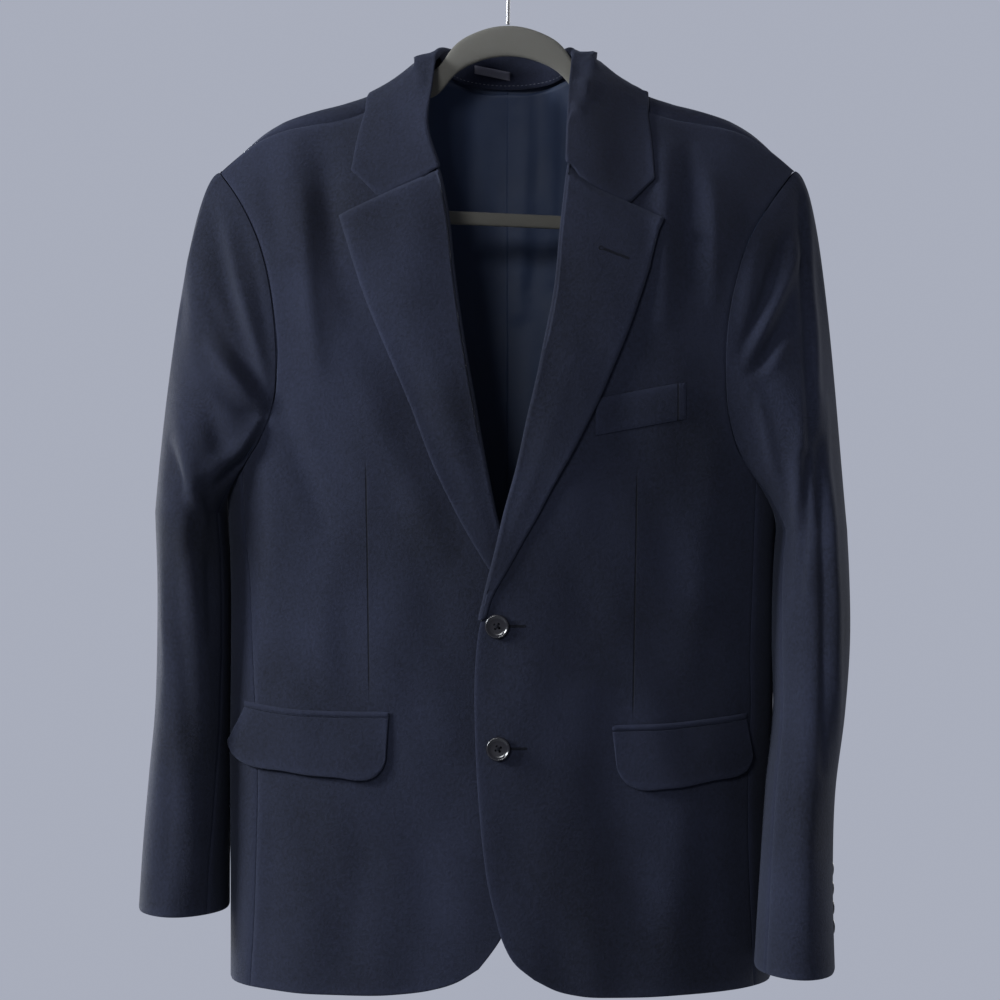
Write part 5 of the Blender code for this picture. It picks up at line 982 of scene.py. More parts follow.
def back_domain(side):
    """The back's places as x and way over the shoulder, with its armhole and side points."""
    sign = SIGN[side]
    _, _, back = armhole_samples(side)
    low = side_seam_points(side, back=True)
    right = np.concatenate([low, armhole_points(side, back)[1:]])
    shoulder = shoulder_seam_points(side)
    neck_x = shoulder[0][0]
    neck_way = [(sign * x, float(over_way(x, z))) for x, z in NECK_BACK]
    neck_way.append((neck_x * NECK_BACK_TURN[0], NECK_BACK_TURN[1]))
    neck_way.append((neck_x, SHOULDER_SEAM_ENDS))
    neck_curve = curve_through(neck_way, NECK_SHARES)
    seam = np.stack([shoulder[:, 0], seam_over(SHOULDER_SHARES)], 1)
    top = np.concatenate([neck_curve, seam[1:]])
    way = over_way(right[:, 0], right[:, 2])
    way[-1] = SHOULDER_SEAM_ENDS
    run = run_of(right)
    centre_hem = HEM_Z + BACK_HEM_RISE
    z = centre_hem + (NECK_BACK[0][1] - centre_hem) * run / run[-1]
    left = np.stack([np.zeros(len(z)), over_way(np.zeros(len(z)), z)], 1)
    share = back_shares()
    hem_x = low[0][0] * share
    hem_z = HEM_Z + BACK_HEM_RISE * (1 - share**2) ** 2
    bottom = np.stack([hem_x, over_way(hem_x, hem_z)], 1)
    return coons(bottom, top, left, np.stack([right[:, 0], way], 1)), right, shoulder


# ---------------------------------------------------------------- shells of cloth
def edge_ways(grid):
    """Distances of a grid's points from its bottom, top, left and right edges."""
    across = np.zeros(grid.shape[:2])
    upward = np.zeros(grid.shape[:2])
    across[:, 1:] = np.cumsum(np.linalg.norm(np.diff(grid, axis=1), axis=-1), 1)
    upward[1:] = np.cumsum(np.linalg.norm(np.diff(grid, axis=0), axis=-1), 0)
    return {
        "bottom": upward,
        "top": upward[-1] - upward,
        "left": across,
        "right": across[:, -1:] - across,
    }


def tucked(grid, inward, sewn, turned):
    """A grid whose sewn edges dip into their seams and whose turned edges are rounded."""
    dip, near = np.zeros(grid.shape[:2]), np.zeros(grid.shape[:2])
    for edge, way in edge_ways(grid).items():
        if edge in sewn:
            dip = np.maximum(dip, SEAM_DIP * np.exp(-((way / SEAM_SOFT) ** 2)))
        if edge in turned:
            dip = np.maximum(dip, EDGE_DIP * np.exp(-((way / EDGE_SOFT) ** 2)))
        # nearness to sewn and turned edges, where the wool is lightened for wear and painted shine
        if edge in sewn or edge in turned:
            near = np.maximum(near, np.exp(-((way / WEAR_AND_SHINE_SOFT) ** 2)))
    return grid + inward * dip[..., None], near


def shown(name, data):
    thing = bpy.data.objects.new(name, data)
    bpy.context.scene.collection.objects.link(thing)
    return thing


def dressed(name, mesh, look):
    """A mesh shown as a piece in one finish."""
    mesh.name = name
    mesh.materials.clear()
    mesh.materials.append(look)
    return shown(name, mesh)


def worked(thing):
    """The plain mesh that a thing's modifiers make of it."""
    bpy.context.view_layer.update()
    return bpy.data.meshes.new_from_object(
        thing.evaluated_get(bpy.context.evaluated_depsgraph_get()))


def new_piece(name, vertices, quads, uv, near, looks, inner):
    """A smooth mesh with its cut lengths as UV and its nearness to seams as an attribute."""
    mesh = bpy.data.meshes.new(name)
    mesh.from_pydata(vertices.tolist(), [], quads.tolist())
    layer = mesh.uv_layers.new(name="cut")
    corner = np.zeros(len(mesh.loops), int)
    mesh.loops.foreach_get("vertex_index", corner)
    layer.data.foreach_set("uv", uv[corner].ravel())
    seam = mesh.attributes.new("seam", "FLOAT", "POINT")
    seam.data.foreach_set("value", np.asarray(near, np.float32))
    for look in looks:
        mesh.materials.append(look)
    if len(looks) > 1:
        slots = np.zeros(len(mesh.polygons), int)
        slots[inner : 2 * inner] = 1
        mesh.polygons.foreach_set("material_index", slots)
    mesh.shade_smooth()
    mesh.validate()
    return shown(name, mesh)


def grid_quads(rows, columns, start=0):
    first = start + np.arange(rows - 1)[:, None] * columns + np.arange(columns - 1)[None, :]
    first = first.ravel()
    return np.stack([first, first + 1, first + 1 + columns, first + columns], 1)


def shell(name, grid, thick, inward, looks, sewn, turned, puff):
    """A closed thin piece: the outer grid, the same moved in, and a rim round both."""
    outer, near = tucked(grid, inward, sewn, turned)
    if puff is not None:
        outer = outer - inward * puff[..., None]
    inner = grid + inward * thick
    ways = edge_ways(grid)
    for edge, way in ways.items():
        if edge in turned:
            inner = inner - inward * (EDGE_DIP * np.exp(-((way / EDGE_SOFT) ** 2)))[..., None]
    rows, columns = grid.shape[:2]
    count = rows * columns
    turn = -1 if (grid_normals(grid) * inward).sum() > 0 else 1
    quads = grid_quads(rows, columns)[:, ::turn]
    back = quads[:, ::-1] + count
    index = np.arange(count).reshape(rows, columns)
    rim = np.concatenate([index[0], index[1:, -1], index[-1, -2::-1], index[-2:0:-1, 0]])
    after = np.roll(rim, -1)
    side = np.stack([rim, rim + count, after + count, after], 1)[:, ::turn]
    uv = np.stack([ways["left"], ways["bottom"]], -1).reshape(-1, 2)
    piece = new_piece(name, np.concatenate([outer.reshape(-1, 3), inner.reshape(-1, 3)]),
                      np.concatenate([quads, back, side]), np.concatenate([uv, uv]),
                      np.concatenate([near.ravel(), near.ravel() * 0]), looks, len(back))
    edge_a = outer[1:, :-1] - outer[:-1, :-1]
    edge_b = outer[:-1, 1:] - outer[:-1, :-1]
    area = np.linalg.norm(np.cross(edge_a, edge_b), axis=-1).sum()
    return piece, float(ways["left"][:, -1].max()), float(ways["bottom"][-1].max()), float(area)


def cloth(node, grid, thick, inward, looks, sewn, turned,
          puff=None, least=0.0):
    """A cloth piece with what it rides on, stands for and is made of; its cut width, length and
    area are worked out but not used.
    """
    piece, width, length, area = shell(
        "look_" + node, grid, thick, inward, looks, sewn, turned, puff)
    width, length = max(width, least), max(length, least)
    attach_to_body(piece, "root")
    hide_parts(node)
    area = float(np.clip(area, LEAST_FILL * width * length, width * length))


def attach(piece, slot, *nodes):
    """Say what a hard or sewn-on piece rides on and, if any, stands for; the slot, for what it is
    made of, is not used.
    """
    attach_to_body(piece, "root")
    if nodes:
        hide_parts(*nodes)
    return piece


def make_panels(grids, looks):
    for side in SIDES:
        fore, hind = (side_seam_points(side, back=back) for back in (False, True))
        low = len(fore)
        front, under, back = (grids[n + side] for n in ("front_", "side_panel_", "back_"))
        inward = -outward_normals(front)
        inward[:low, -1] = ring_inward(fore)
        inward[-1] = shoulder_inward(side)
        cloth("front_" + side, front, CLOTH, inward, (looks["front_" + side], looks["lining"]),
              ("top", "right"), ("bottom", "left"))
        inward = -outward_normals(under)
        inward[:, 0] = ring_inward(fore)
        inward[:, -1] = ring_inward(hind, back=True)
        lined = (looks["wool"], looks["lining"])
        cloth("side_panel_" + side, under, CLOTH, inward, lined, ("top", "left", "right"),
              ("bottom",))
        inward = back_inward(side)
        inward[low:, -1] = -outward_normals(back)[low:, -1]
        inward[:low, -1] = ring_inward(hind, back=True)
        inward[-1, NECK_COLUMNS:] = shoulder_inward(side)
        inward[:, 0, 0] = 0
        cloth("back_" + side, back, CLOTH, inward, lined, ("top", "left", "right"), ("bottom",))


# ---------------------------------------------------------------- sleeves
def sleeve_grid(side):
    """Sleeve points from the armhole to the cuff, round from the hind seam; the seams' columns."""
    sign = SIGN[side]
    upper = SLEEVE_HIND_SEAM - 1 + (SLEEVE_FORE_SEAM + 1 - SLEEVE_HIND_SEAM) * SLEEVE_UPPER_SHARES
    under = SLEEVE_FORE_SEAM + (SLEEVE_HIND_SEAM - SLEEVE_FORE_SEAM) * SLEEVE_UNDER_SHARES
    shares = np.concatenate([upper, under[1:]])
    start = armhole_points(side, np.mod(shares, 1.0))
    middle = armhole_points(side, np.linspace(0, 1, 60)).mean(0)
    top_z, cuff_z = SLEEVE[side][-1][0], SLEEVE[side][0][0]
    first = sleeve_level(side, shares, top_z)
    outward = np.abs(np.cos(np.pi * shares))[:, None]
    aside = outward + UNDERARM_ASIDE * (1 - outward)
    leave = np.array([sign, 0, 0]) * aside + np.array([0, 0, -1.0]) * (LEAVE_DOWN - outward)
    leave = unit_rows(leave)
    chord = first - start
    length = np.linalg.norm(chord, axis=1, keepdims=True)
    line = unit_rows(first - sleeve_level(side, shares, top_z - BICEP_STEP))
    arrive = ARRIVE_STRAIGHT * -chord / length + (1 - ARRIVE_STRAIGHT) * line
    lift = start - middle
    lift[:, 0] = 0
    lift = unit_rows(lift)
    begin = start + leave * SLEEVE_START + lift * SLEEVE_START_LIFT
    begin = begin + np.array([sign * SLEEVE_START_ASIDE, 0, 0])
    swell = SLEEVE_HEAD_SWELL * outward + SLEEVE_HEAD_LEAST
    one = begin + leave * np.minimum(swell, SLEEVE_HEAD_SHARE * length)
    two = first + arrive * SLEEVE_HEAD_SHARE * length
    t = HEAD_SHARES[:, None, None]
    head = ((1 - t) ** 3 * begin + 3 * t * (1 - t) ** 2 * one + 3 * t**2 * (1 - t) * two
            + t**3 * first)
    z = top_z + (cuff_z - top_z) * ARM_SHARES[1:]
    arm = [sleeve_level(side, shares, level) for level in z]
    turned_in = [begin - leave * out - lift * down for out, down in SEAM_TURN_IN]
    return np.concatenate([np.array(turned_in), head, np.array(arm)]), len(upper)


def make_sleeves(looks):
    """The sleeves with their folds; returns their outer grids."""
    grids = {}
    for side in SIDES:
        grid, seam = sleeve_grid(side)
        normal = grid_normals(grid, closed=True)
        if ((grid - grid.mean(1, keepdims=True)) * normal).sum() < 0:
            normal = -normal
        x, z, facing = grid[..., 0], grid[..., 2], normal[..., 1]
        front = fold_height(x, z, SLEEVE_FOLDS[side]) * step_between(*FOLD_FACING, -facing)
        back = fold_height(np.abs(x), z, SLEEVE_FOLDS_BACK) * step_between(*FOLD_FACING, facing)
        fade = np.ones(len(grid))
        first = len(SEAM_TURN_IN)
        fade[:first] = 0
        fade[first : first + len(HEAD_SHARES)] = step_between(0.0, FOLD_HEAD_SHARE, HEAD_SHARES)
        grid = grid + normal * ((front + back) * fade[:, None])[..., None]
        grids[side] = grid
        for part, columns in (("upper", slice(0, seam)), ("under", slice(seam - 1, None))):
            cloth(f"sleeve_{side}_{part}", grid[:, columns], CLOTH, -normal[:, columns],
                  (looks["wool"], looks["lining"]), ("left", "right"), ("top",))
    return grids


# ---------------------------------------------------------------- lapels and collar
def gorge_line(side, offset, shares):
    """Front-view places along the gorge, moved up or down from the seam."""
    line = curve_through(GORGE[side], shares)
    way = np.gradient(line, axis=0)
    up = unit_rows(np.stack([-way[:, 1], way[:, 0]], 1))
    return line + np.where(up[:, 1:] < 0, -up, up) * offset


def roll_stations(side, front):
    """Places on the front's edge from the break to the gorge, with out and away directions."""
    edge = front[:, 0]
    low = BREAK_Z[side]
    high = GORGE[side][0][1] - SEAM_SIDE_GAP
    own = edge[(edge[:, 2] > low + ROLL_MARGIN / 3) & (edge[:, 2] < high - ROLL_MARGIN / 3), 2]
    z = np.concatenate([[low], own, [high]])
    point = read_along(z, edge[:, 2], edge)
    out = unit_rows(read_along(z, edge[:, 2], outward_normals(front)[:, 0]))
    away = read_along(z, edge[:, 2], edge - front[:, 4])
    away = unit_rows(away - (away * out).sum(1, keepdims=True) * out)
    return point, out, away


def make_lapels(grids, looks):
    """The lapels, rolled round the fronts' edges and laid on the fronts; returns their faces."""
    faces = {}
    for side in SIDES:
        front = grids["front_" + side]
        point, out, away = roll_stations(side, front)
        rest = CLEAR + DOUBLE_CLOTH
        middle = point - out * (CLOTH / 2)
        radius = CLOTH / 2 + rest
        turn = [middle + radius * (out * math.sin(a) + away * math.cos(a)) for a in ROLL_ANGLES]
        back_edge = turn[0] - away * LAPEL_RETURN
        gorge = gorge_line(side, -SEAM_SIDE_GAP, GORGE_FINE)[1:]
        tip = np.array(LAPEL_EDGE[side][-1])
        top = np.concatenate([point[-1:, [0, 2]], gorge, gorge[-1] + (tip - gorge[-1]) * TIP_FINE])
        u = run_of(top)
        u = u / u[-1]
        left = point[:, [0, 2]]
        run = run_of(left)
        right = curve_through(LAPEL_EDGE[side], run / run[-1])
        bottom = left[0] + (right[0] - left[0]) * u[:, None]
        flat = coons(bottom, top, left, right)
        x, z = flat[..., 0], flat[..., 1]
        edge_off = LAPEL_RISE * step_between(0.0, 0.5, u)[None, :] * step_between(*LAPEL_RISE_Z, z)
        rise = rest + edge_off
        tree = cloth_tree(front)
        face = keep_clear(on_front(x, z, tree, rise), tree, rise)
        grid = np.stack([back_edge] + turn + [face[:, k] for k in range(1, len(u))], 1)
        inward = -cloth_normals(grid, tree)
        for k, a in enumerate(ROLL_ANGLES):
            inward[:, 1 + k] = -(out * math.sin(a) + away * math.cos(a))
        inward[:, 0] = out
        cloth("lapel_" + side, grid, DOUBLE_CLOTH, inward, (looks["wool"],), (),
              ("right", "top", "bottom"))
        faces[side] = face
    return faces


def collar_grid(grids):
    """Outer points of the collar: stand, rounded roll and fall, stations round the neck."""
    place = COLLAR_PLACES
    last = len(place) - 1
    seam, roll = (np.stack([collar_value(part + k, place) for k in "xyz"], 1)
                  for part in ("seam_", "roll_"))
    edge_x = collar_value("edge_x", place)
    edge_z = collar_value("edge_z", place)
    behind = step_between(0.0, 1.0, collar_value("edge_back", place))
    share = round_share(edge_x, edge_z)
    front_y = -depth_front(edge_x, edge_z, share)
    back_y = depth_back(edge_x, edge_z, share)
    edge = np.stack([edge_x, front_y * (1 - behind) + back_y * behind, edge_z], 1)
    stand_way = unit_rows(seam - roll)
    fall_way = unit_rows(edge - roll)
    into = unit_rows(stand_way + fall_way)
    across = unit_rows(fall_way - stand_way)
    half_fold = np.arccos(np.clip((into * fall_way).sum(1), -1, 1))[:, None]
    centre = roll + into * COLLAR_ROLL
    turn, facing = [], []
    for step in np.linspace(-1, 1, COLLAR_TURNS):
        a = (math.pi / 2 - half_fold) * step
        facing.append(across * np.sin(a) - into * np.cos(a))
        turn.append(centre + COLLAR_ROLL * facing[-1])
    stand = [seam + (turn[0] - seam) * step for step in np.linspace(0, 1, COLLAR_STAND_ROWS)[:-1]]
    fall = np.stack([turn[-1] + (edge - turn[-1]) * step for step in FALL_FINE], 1)
    straight = fall.copy()
    for row, side in ((0, "right"), (last, "left")):
        gorge = gorge_line(side, SEAM_SIDE_GAP, GORGE_SHARES)[1:]
        tip = edge[row][[0, 2]]
        line = np.concatenate([turn[-1][row][None, [0, 2]], gorge, [(gorge[-1] + tip) / 2, tip]])
        fine = np.stack([smooth(FALL_MARKS, line[:, k], FALL_FINE) for k in (0, 1)], 1)
        depth = depth_front(fine[:, 0], fine[:, 1], round_share(fine[:, 0], fine[:, 1]))
        bend = np.stack([fine[:, 0], -depth, fine[:, 1]], 1) - straight[row]
        bend = bend * step_between(0.0, FALL_MARKS[1], FALL_FINE)[:, None]
        near = place if row == 0 else 1 - place
        weight = np.clip(1 - near / COLLAR_END_BLEND, 0, 1) ** 2
        fall = fall + bend[None] * weight[:, None, None]
    clear = CLEAR + DOUBLE_CLOTH + COLLAR_LIFT
    panels = []
    for side in SIDES:
        front = grids["front_" + side]
        above = int(np.argmax(front[:, 0, 2] > GORGE[side][0][1]))
        panels.append(widened(front, None, above, NECK_REACH))
        panels.append(widened(grids["back_" + side], NECK_COLUMNS, None, NECK_REACH))
    tree = cloth_tree(*panels)
    half = COLLAR_TURNS // 2 + 1
    outside = keep_clear(np.concatenate([np.stack(turn[half:], 1), fall], 1), tree, clear)
    grid = np.concatenate([np.stack(stand + turn[:half], 1), outside], 1)
    inward = -grid_normals(grid)
    if inward[last // 2, -2, 1] > 0:
        inward = -inward
    first = len(stand) + len(turn)
    inward[:, :first] = -np.stack(facing[:1] * len(stand) + facing, 1)
    for row in (0, -1):
        inward[row, first:] = -cloth_normals(grid[row, first:], tree)
    return grid, inward


def make_collar(grids, looks):
    grid, inward = collar_grid(grids)
    cloth("collar", grid, DOUBLE_CLOTH, inward, (looks["wool"],), ("left",),
          ("right", "bottom", "top"))
    return grid


# ---------------------------------------------------------------- pockets
def make_pockets(grids, looks):
    for side in SIDES:
        tree = cloth_tree(grids["front_" + side], grids["side_panel_" + side])
        share = dense(FLAP_LENGTH)
        top_x, top_z, low_x, low_z, off = (
            column(FLAP[side], FLAP_COLUMNS, name, share) for name in FLAP_COLUMNS[1:])
        from_end = np.minimum(share, 1 - share) * abs(low_x[-1] - low_x[0])
        cut = np.clip(FLAP_CORNER - from_end, 0, FLAP_CORNER)
        low_z = low_z + FLAP_CORNER - np.sqrt(FLAP_CORNER**2 - cut**2)
        down = dense(FLAP_DEPTH)[:, None]
        x = top_x + (low_x - top_x) * down
        z = top_z - CLEAR + (low_z - top_z) * down
        rise = POCKET_CLEAR + DOUBLE_CLOTH + off * down
        flap = keep_clear(on_front(x, z, tree, rise), tree, rise)
        cloth("pocket_flap_" + side, flap, DOUBLE_CLOTH, -cloth_normals(flap, tree),
              (looks["wool"], looks["lining"]), (), ("top", "left", "right"))
        across = np.linspace(0, 1, 9)[:, None]
        z = top_z + JET_HEIGHT * across
        x = top_x + 0 * z
        jet = on_front(x, z, tree, POCKET_CLEAR + THIN_CLOTH)
        cloth("pocket_jet_" + side, jet, THIN_CLOTH, -cloth_normals(jet, tree), (looks["wool"],),
              (), ("bottom", "top", "left", "right"),
              puff=JET_PUFF * np.sin(math.pi * across) + 0 * x, least=STRIP_LEAST)
    u, v = dense(WELT_LENGTH)[None, :], dense(WELT_DEPTH)[:, None]
    x, z = ((low + (low_end - low) * u) * (1 - v) + (top + (top_end - top) * u) * v
            for low, low_end, top, top_end in zip(*WELT))
    tree = cloth_tree(grids["front_left"])
    welt = on_front(x, z, tree, CLEAR + THIN_CLOTH + WELT_PUFF * np.sin(math.pi * v))
    cloth("breast_welt", welt, THIN_CLOTH, -cloth_normals(welt, tree), (looks["welt"],),
          ("bottom",), ("top", "left", "right"))


# ---------------------------------------------------------------- lining and loop
def lining_half(side, back):
    """A back's own columns moved in, from above its hem to under its neck edge."""
    way = back_domain(side)[0][..., 1]
    inward = back_inward(side)
    inward[:, 0, 0] = 0
    columns = []
    for j in np.flatnonzero(back_shares() <= LINING_HEM_SHARE):
        low = way[0, j] + LINING_LOW
        high = min(way[-1, j] - LINING_UNDER_NECK, LINING_BEHIND)
        wanted = low + (way[:, j] - way[0, j]) * (high - low) / (way[-1, j] - way[0, j])
        inner = back[:, j] + inward[:, j] * (CLOTH + LINING_GAP)
        columns.append(read_along(wanted, way[:, j], inner))
    return np.stack(columns, 1)


def make_lining(grids, looks):
    """The back lining seen in the neck: satin with a centre pleat and soft folds."""
    right, left = (lining_half(side, grids["back_" + side]) for side in SIDES)
    behind = np.concatenate([right[:, ::-1], left[:, 1:]], 1)
    inward = outward_normals(behind)
    seen = behind - inward * THIN_CLOTH
    x, z = seen[..., 0], seen[..., 2]
    pleat = step_between(-PLEAT_SOFT, 0.0, x) * step_between(PLEAT_BACK, PLEAT_FLAT, x)
    height = np.maximum(fold_height(x, z, LINING_FOLDS) + PLEAT_STEP * pleat, 0)
    height = height * step_between(*LINING_FOLDS_Z, z)
    cloth("back_lining", seen - inward * height[..., None], THIN_CLOTH, inward,
          (looks["satin"],), (), ("bottom", "left", "right", "top"))


def make_loop(collar, looks):
    """The bare hanging loop, a folded tape across the inside of the collar's stand."""
    stand = cloth_tree(collar)
    share = np.linspace(0, 1, 28)
    sag = LOOP_SAG * np.sin(math.pi * share)
    across = np.linspace(0, 1, 8)
    grid = np.zeros((len(across), len(share), 3))
    for i, v in enumerate(across):
        for j, s in enumerate(share):
            x = LOOP_FROM[0] + (LOOP_TO[0] - LOOP_FROM[0]) * s
            z = LOOP_FROM[1] + (LOOP_TO[1] - LOOP_FROM[1]) * s - LOOP_WIDTH * (1 - v)
            place, _ = seen_at(stand, x, z, 0.0)
            y = place[1] - CLEAR - THIN_CLOTH - sag[j] - LOOP_PUFF * math.sin(math.pi * v)
            grid[i, j] = (x, y, z)
    inward = np.zeros(grid.shape) + np.array([0, 1.0, 0])
    cloth("neck_loop", grid, THIN_CLOTH, inward, (looks["tape"],), ("left", "right"),
          ("bottom", "top"), least=STRIP_LEAST)


# ---------------------------------------------------------------- buttons
def seen_at(tree, x, z, start_y=-0.5):
    """Place and outward direction of the cloth that shows at x, z from the front."""
    place, normal, _, _ = tree.ray_cast(Vector((x, start_y, z)), Vector((0, 1, 0)))
    return place, (-normal if normal.y > 0 else normal)


def turned_mesh(profile, segments):
    """A turned closed mesh round +Z from radius and height rows that start and end on the axis."""
    made = bmesh.new()
    rings = []
    angles = [2 * math.pi * k / segments for k in range(segments)]
    for radius, height in profile:
        places = [(radius * math.cos(a), radius * math.sin(a), height) for a in angles]
        rings.append([made.verts.new(p) for p in (places if radius else [(0, 0, height)])])
    for low, high in zip(rings, rings[1:]):
        for k in range(segments):
            n = (k + 1) % segments
            round_face = ((low, k), (low, n), (high, n), (high, k))
            corners = [ring[i % len(ring)] for ring, i in round_face]
            made.faces.new(list(dict.fromkeys(corners)))
    bmesh.ops.recalc_face_normals(made, faces=made.faces)
    mesh = bpy.data.meshes.new("turned")
    made.to_mesh(mesh)
    made.free()
    return mesh


def tube(path, radius, around):
    """Vertices and quads of a round strand along a path, thinner at its two ends."""
    path = np.array(path, float)
    way = unit_rows(np.gradient(path, axis=0))
    side = unit_rows(np.cross(way, [0.0, 0.0, 1.0]) + 1e-9)
    up = np.cross(side, way)
    a = 2 * math.pi * np.arange(around) / around
    swell = np.sin(math.pi * np.linspace(0, 1, len(path))) ** STRAND_TAPER
    thick = radius * (STRAND_TIP + (1 - STRAND_TIP) * swell)
    ring = side[:, None] * np.cos(a)[:, None] + up[:, None] * np.sin(a)[:, None]
    vertices = (path[:, None] + thick[:, None, None] * ring).reshape(-1, 3)
    first = np.arange(len(path) - 1)[:, None] * around
    low = (first + np.arange(around)).ravel()
    next_low = (first + (np.arange(around) + 1) % around).ravel()
    return vertices, np.stack([low, next_low, next_low + around, low + around], 1)


def drilled_button(radius, thick):
    """A button's mesh: raised rim, dish and four holes."""
    blank = shown("button_blank", turned_mesh(
        [(radius * r, thick * h) for r, h in BUTTON_PROFILE], BUTTON_SEGMENTS))
    bore = radius * HOLE_RADIUS
    drill = turned_mesh([(0, -thick), (bore, -thick), (bore, 2 * thick), (0, 2 * thick)], 16)
    drills = []
    for k in range(4):
        a = math.pi / 4 + k * math.pi / 2
        hole = shown(f"drill_{k}", drill)
        hole.location = (radius * HOLE_AWAY * math.cos(a), radius * HOLE_AWAY * math.sin(a), 0)
        drills.append(hole)
        cut = blank.modifiers.new(f"cut_{k}", "BOOLEAN")
        cut.object = hole
        cut.operation = "DIFFERENCE"
        cut.solver = "EXACT"
    mesh = worked(blank)
    for thing in [blank] + drills:
        bpy.data.objects.remove(thing)
    return mesh


def thread_cross(radius, thick):
    """Sewing thread over a button: strands that cross from hole to hole."""
    vertices, quads = [], []
    count = 0
    share = np.linspace(-1, 1, 13)
    for k, arch in enumerate(THREAD_ARCHES):
        a = math.pi / 4 + k * math.pi / 2
        way = np.array([math.cos(a), math.sin(a), 0])
        side = np.array([-math.sin(a), math.cos(a), 0])
        height = thick * (DISH_HEIGHT - THREAD_SUNK + arch * (1 - np.abs(share) ** 3))
        for strand in (-1, 0, 1):
            path = way * (share * radius * HOLE_AWAY * THREAD_REACH)[:, None]
            path = path + side * (strand * radius * THREAD_RADIUS * THREAD_PITCH)
            points, faces = tube(path + [[0, 0, h] for h in height], radius * THREAD_RADIUS, 6)
            vertices.append(points)
            quads.append(faces + count)
            count += len(points)
    return np.concatenate(vertices), np.concatenate(quads)


def place_button(node, blank, thread, place, normal, turn, looks):
    """A button and its thread, standing on a place of the cloth along its outward direction."""
    normal = Vector(normal).normalized()
    quat = Vector((0, 0, 1)).rotation_difference(normal)
    stand = Matrix.Translation(Vector(place) + normal * BUTTON_SHANK) @ quat.to_matrix().to_4x4()
    stand = stand @ Matrix.Rotation(turn, 4, "Z")
    name = "look_" + node
    mesh = blank.copy()
    mesh.transform(stand)
    mesh.shade_smooth()
    mesh.set_sharp_from_angle(angle=math.radians(40))
    attach(dressed(name, mesh, looks["horn"]), "buttons", node)
    cross = bpy.data.meshes.new(name + "_thread")
    cross.from_pydata(thread[0].tolist(), [], thread[1].tolist())
    cross.transform(stand)
    cross.shade_smooth()
    attach(dressed(name + "_thread", cross, looks["thread"]), "buttons")


def make_buttons(grids, sleeves, looks):
    tree = cloth_tree(grids["front_left"])
    sizes = (FRONT_BUTTON_RADIUS, FRONT_BUTTON_THICK)
    blank, thread = drilled_button(*sizes), thread_cross(*sizes)
    for (name, x, z), turn in zip(FRONT_BUTTONS, BUTTON_TURNS):
        place_button(name, blank, thread, *seen_at(tree, x, z), turn, looks)
    sizes = (CUFF_BUTTON_RADIUS, CUFF_BUTTON_THICK)
    blank, thread = drilled_button(*sizes), thread_cross(*sizes)
    for side in SIDES:
        tree = cloth_tree(sleeves[side])
        angle = math.radians(CUFF_BUTTON_ANGLE[side])
        for k, height in enumerate(CUFF_BUTTON_HEIGHTS):
            z = SLEEVE[side][0][0] + height
            middle = np.array([column(SLEEVE[side], SLEEVE_COLUMNS, n, z) for n in "xy"])
            way = sleeve_ring(side, angle, z)[:2] - middle
            start = Vector((*(middle + way * 3), z))
            place, normal, _, _ = tree.ray_cast(start, Vector((*(-way), 0)))
            if normal.dot(Vector((*way, 0))) < 0:
                normal = -normal
            place_button(f"cuff_button_{side}_{k + 1}", blank, thread, place, normal,
                         CUFF_BUTTON_TURN * k, looks)


# ---------------------------------------------------------------- stitches
def stitch_tool():
    """Node group that sets a row of stitches along a line with outward directions."""
    tree = bpy.data.node_groups.new("stitch_row", "GeometryNodeTree")
    face = tree.interface
    face.new_socket("Line", in_out="INPUT", socket_type="NodeSocketGeometry")
    for name in ("Spacing", "Length", "Thickness", "Turn"):
        face.new_socket(name, in_out="INPUT", socket_type="NodeSocketFloat")
    face.new_socket("Thread", in_out="INPUT", socket_type="NodeSocketMaterial")
    face.new_socket("Stitches", in_out="OUTPUT", socket_type="NodeSocketGeometry")

    given = tree.nodes.new("NodeGroupInput").outputs
    curve = add(tree, "GeometryNodeMeshToCurve", Mesh=given["Line"])["Curve"]
    even = add(tree, "GeometryNodeResampleCurve", {"mode": "LENGTH"}, Curve=curve,
               Length=given["Spacing"])["Curve"]
    out = add(tree, "GeometryNodeInputNamedAttribute", {"data_type": "FLOAT_VECTOR"}, Name="out")
    way = tree.nodes.new("GeometryNodeInputTangent").outputs["Tangent"]
    along = add(tree, "FunctionNodeAlignRotationToVector", {"axis": "X"}, Vector=way)["Rotation"]
    upright = add(tree, "FunctionNodeAlignRotationToVector", {"axis": "Z", "pivot_axis": "X"},
                  Rotation=along, Vector=out["Attribute"])["Rotation"]
    spin = add(tree, "ShaderNodeCombineXYZ", Z=given["Turn"])["Vector"]
    turn = add(tree, "FunctionNodeRotateRotation", {"rotation_space": "LOCAL"},
               Rotation=upright, Rotate_By=spin)["Rotation"]
    size = add(tree, "ShaderNodeCombineXYZ", X=given["Length"], Y=given["Thickness"],
               Z=given["Thickness"])["Vector"]
    bead = add(tree, "GeometryNodeMeshUVSphere", Segments=8, Rings=6, Radius=0.5)["Mesh"]
    laid = add(tree, "GeometryNodeTransform", Geometry=bead, Rotation=(0, math.pi / 2, 0))
    stitch = add(tree, "GeometryNodeSetShadeSmooth", Geometry=laid["Geometry"])["Geometry"]
    placed = add(tree, "GeometryNodeInstanceOnPoints", Points=even, Instance=stitch,
                 Rotation=turn, Scale=size)["Instances"]
    real = add(tree, "GeometryNodeRealizeInstances", Geometry=placed)["Geometry"]
    done = add(tree, "GeometryNodeSetMaterial", Geometry=real, Material=given["Thread"])
    result = tree.nodes.new("NodeGroupOutput")
    tree.links.new(done["Geometry"], result.inputs["Stitches"])
    return tree


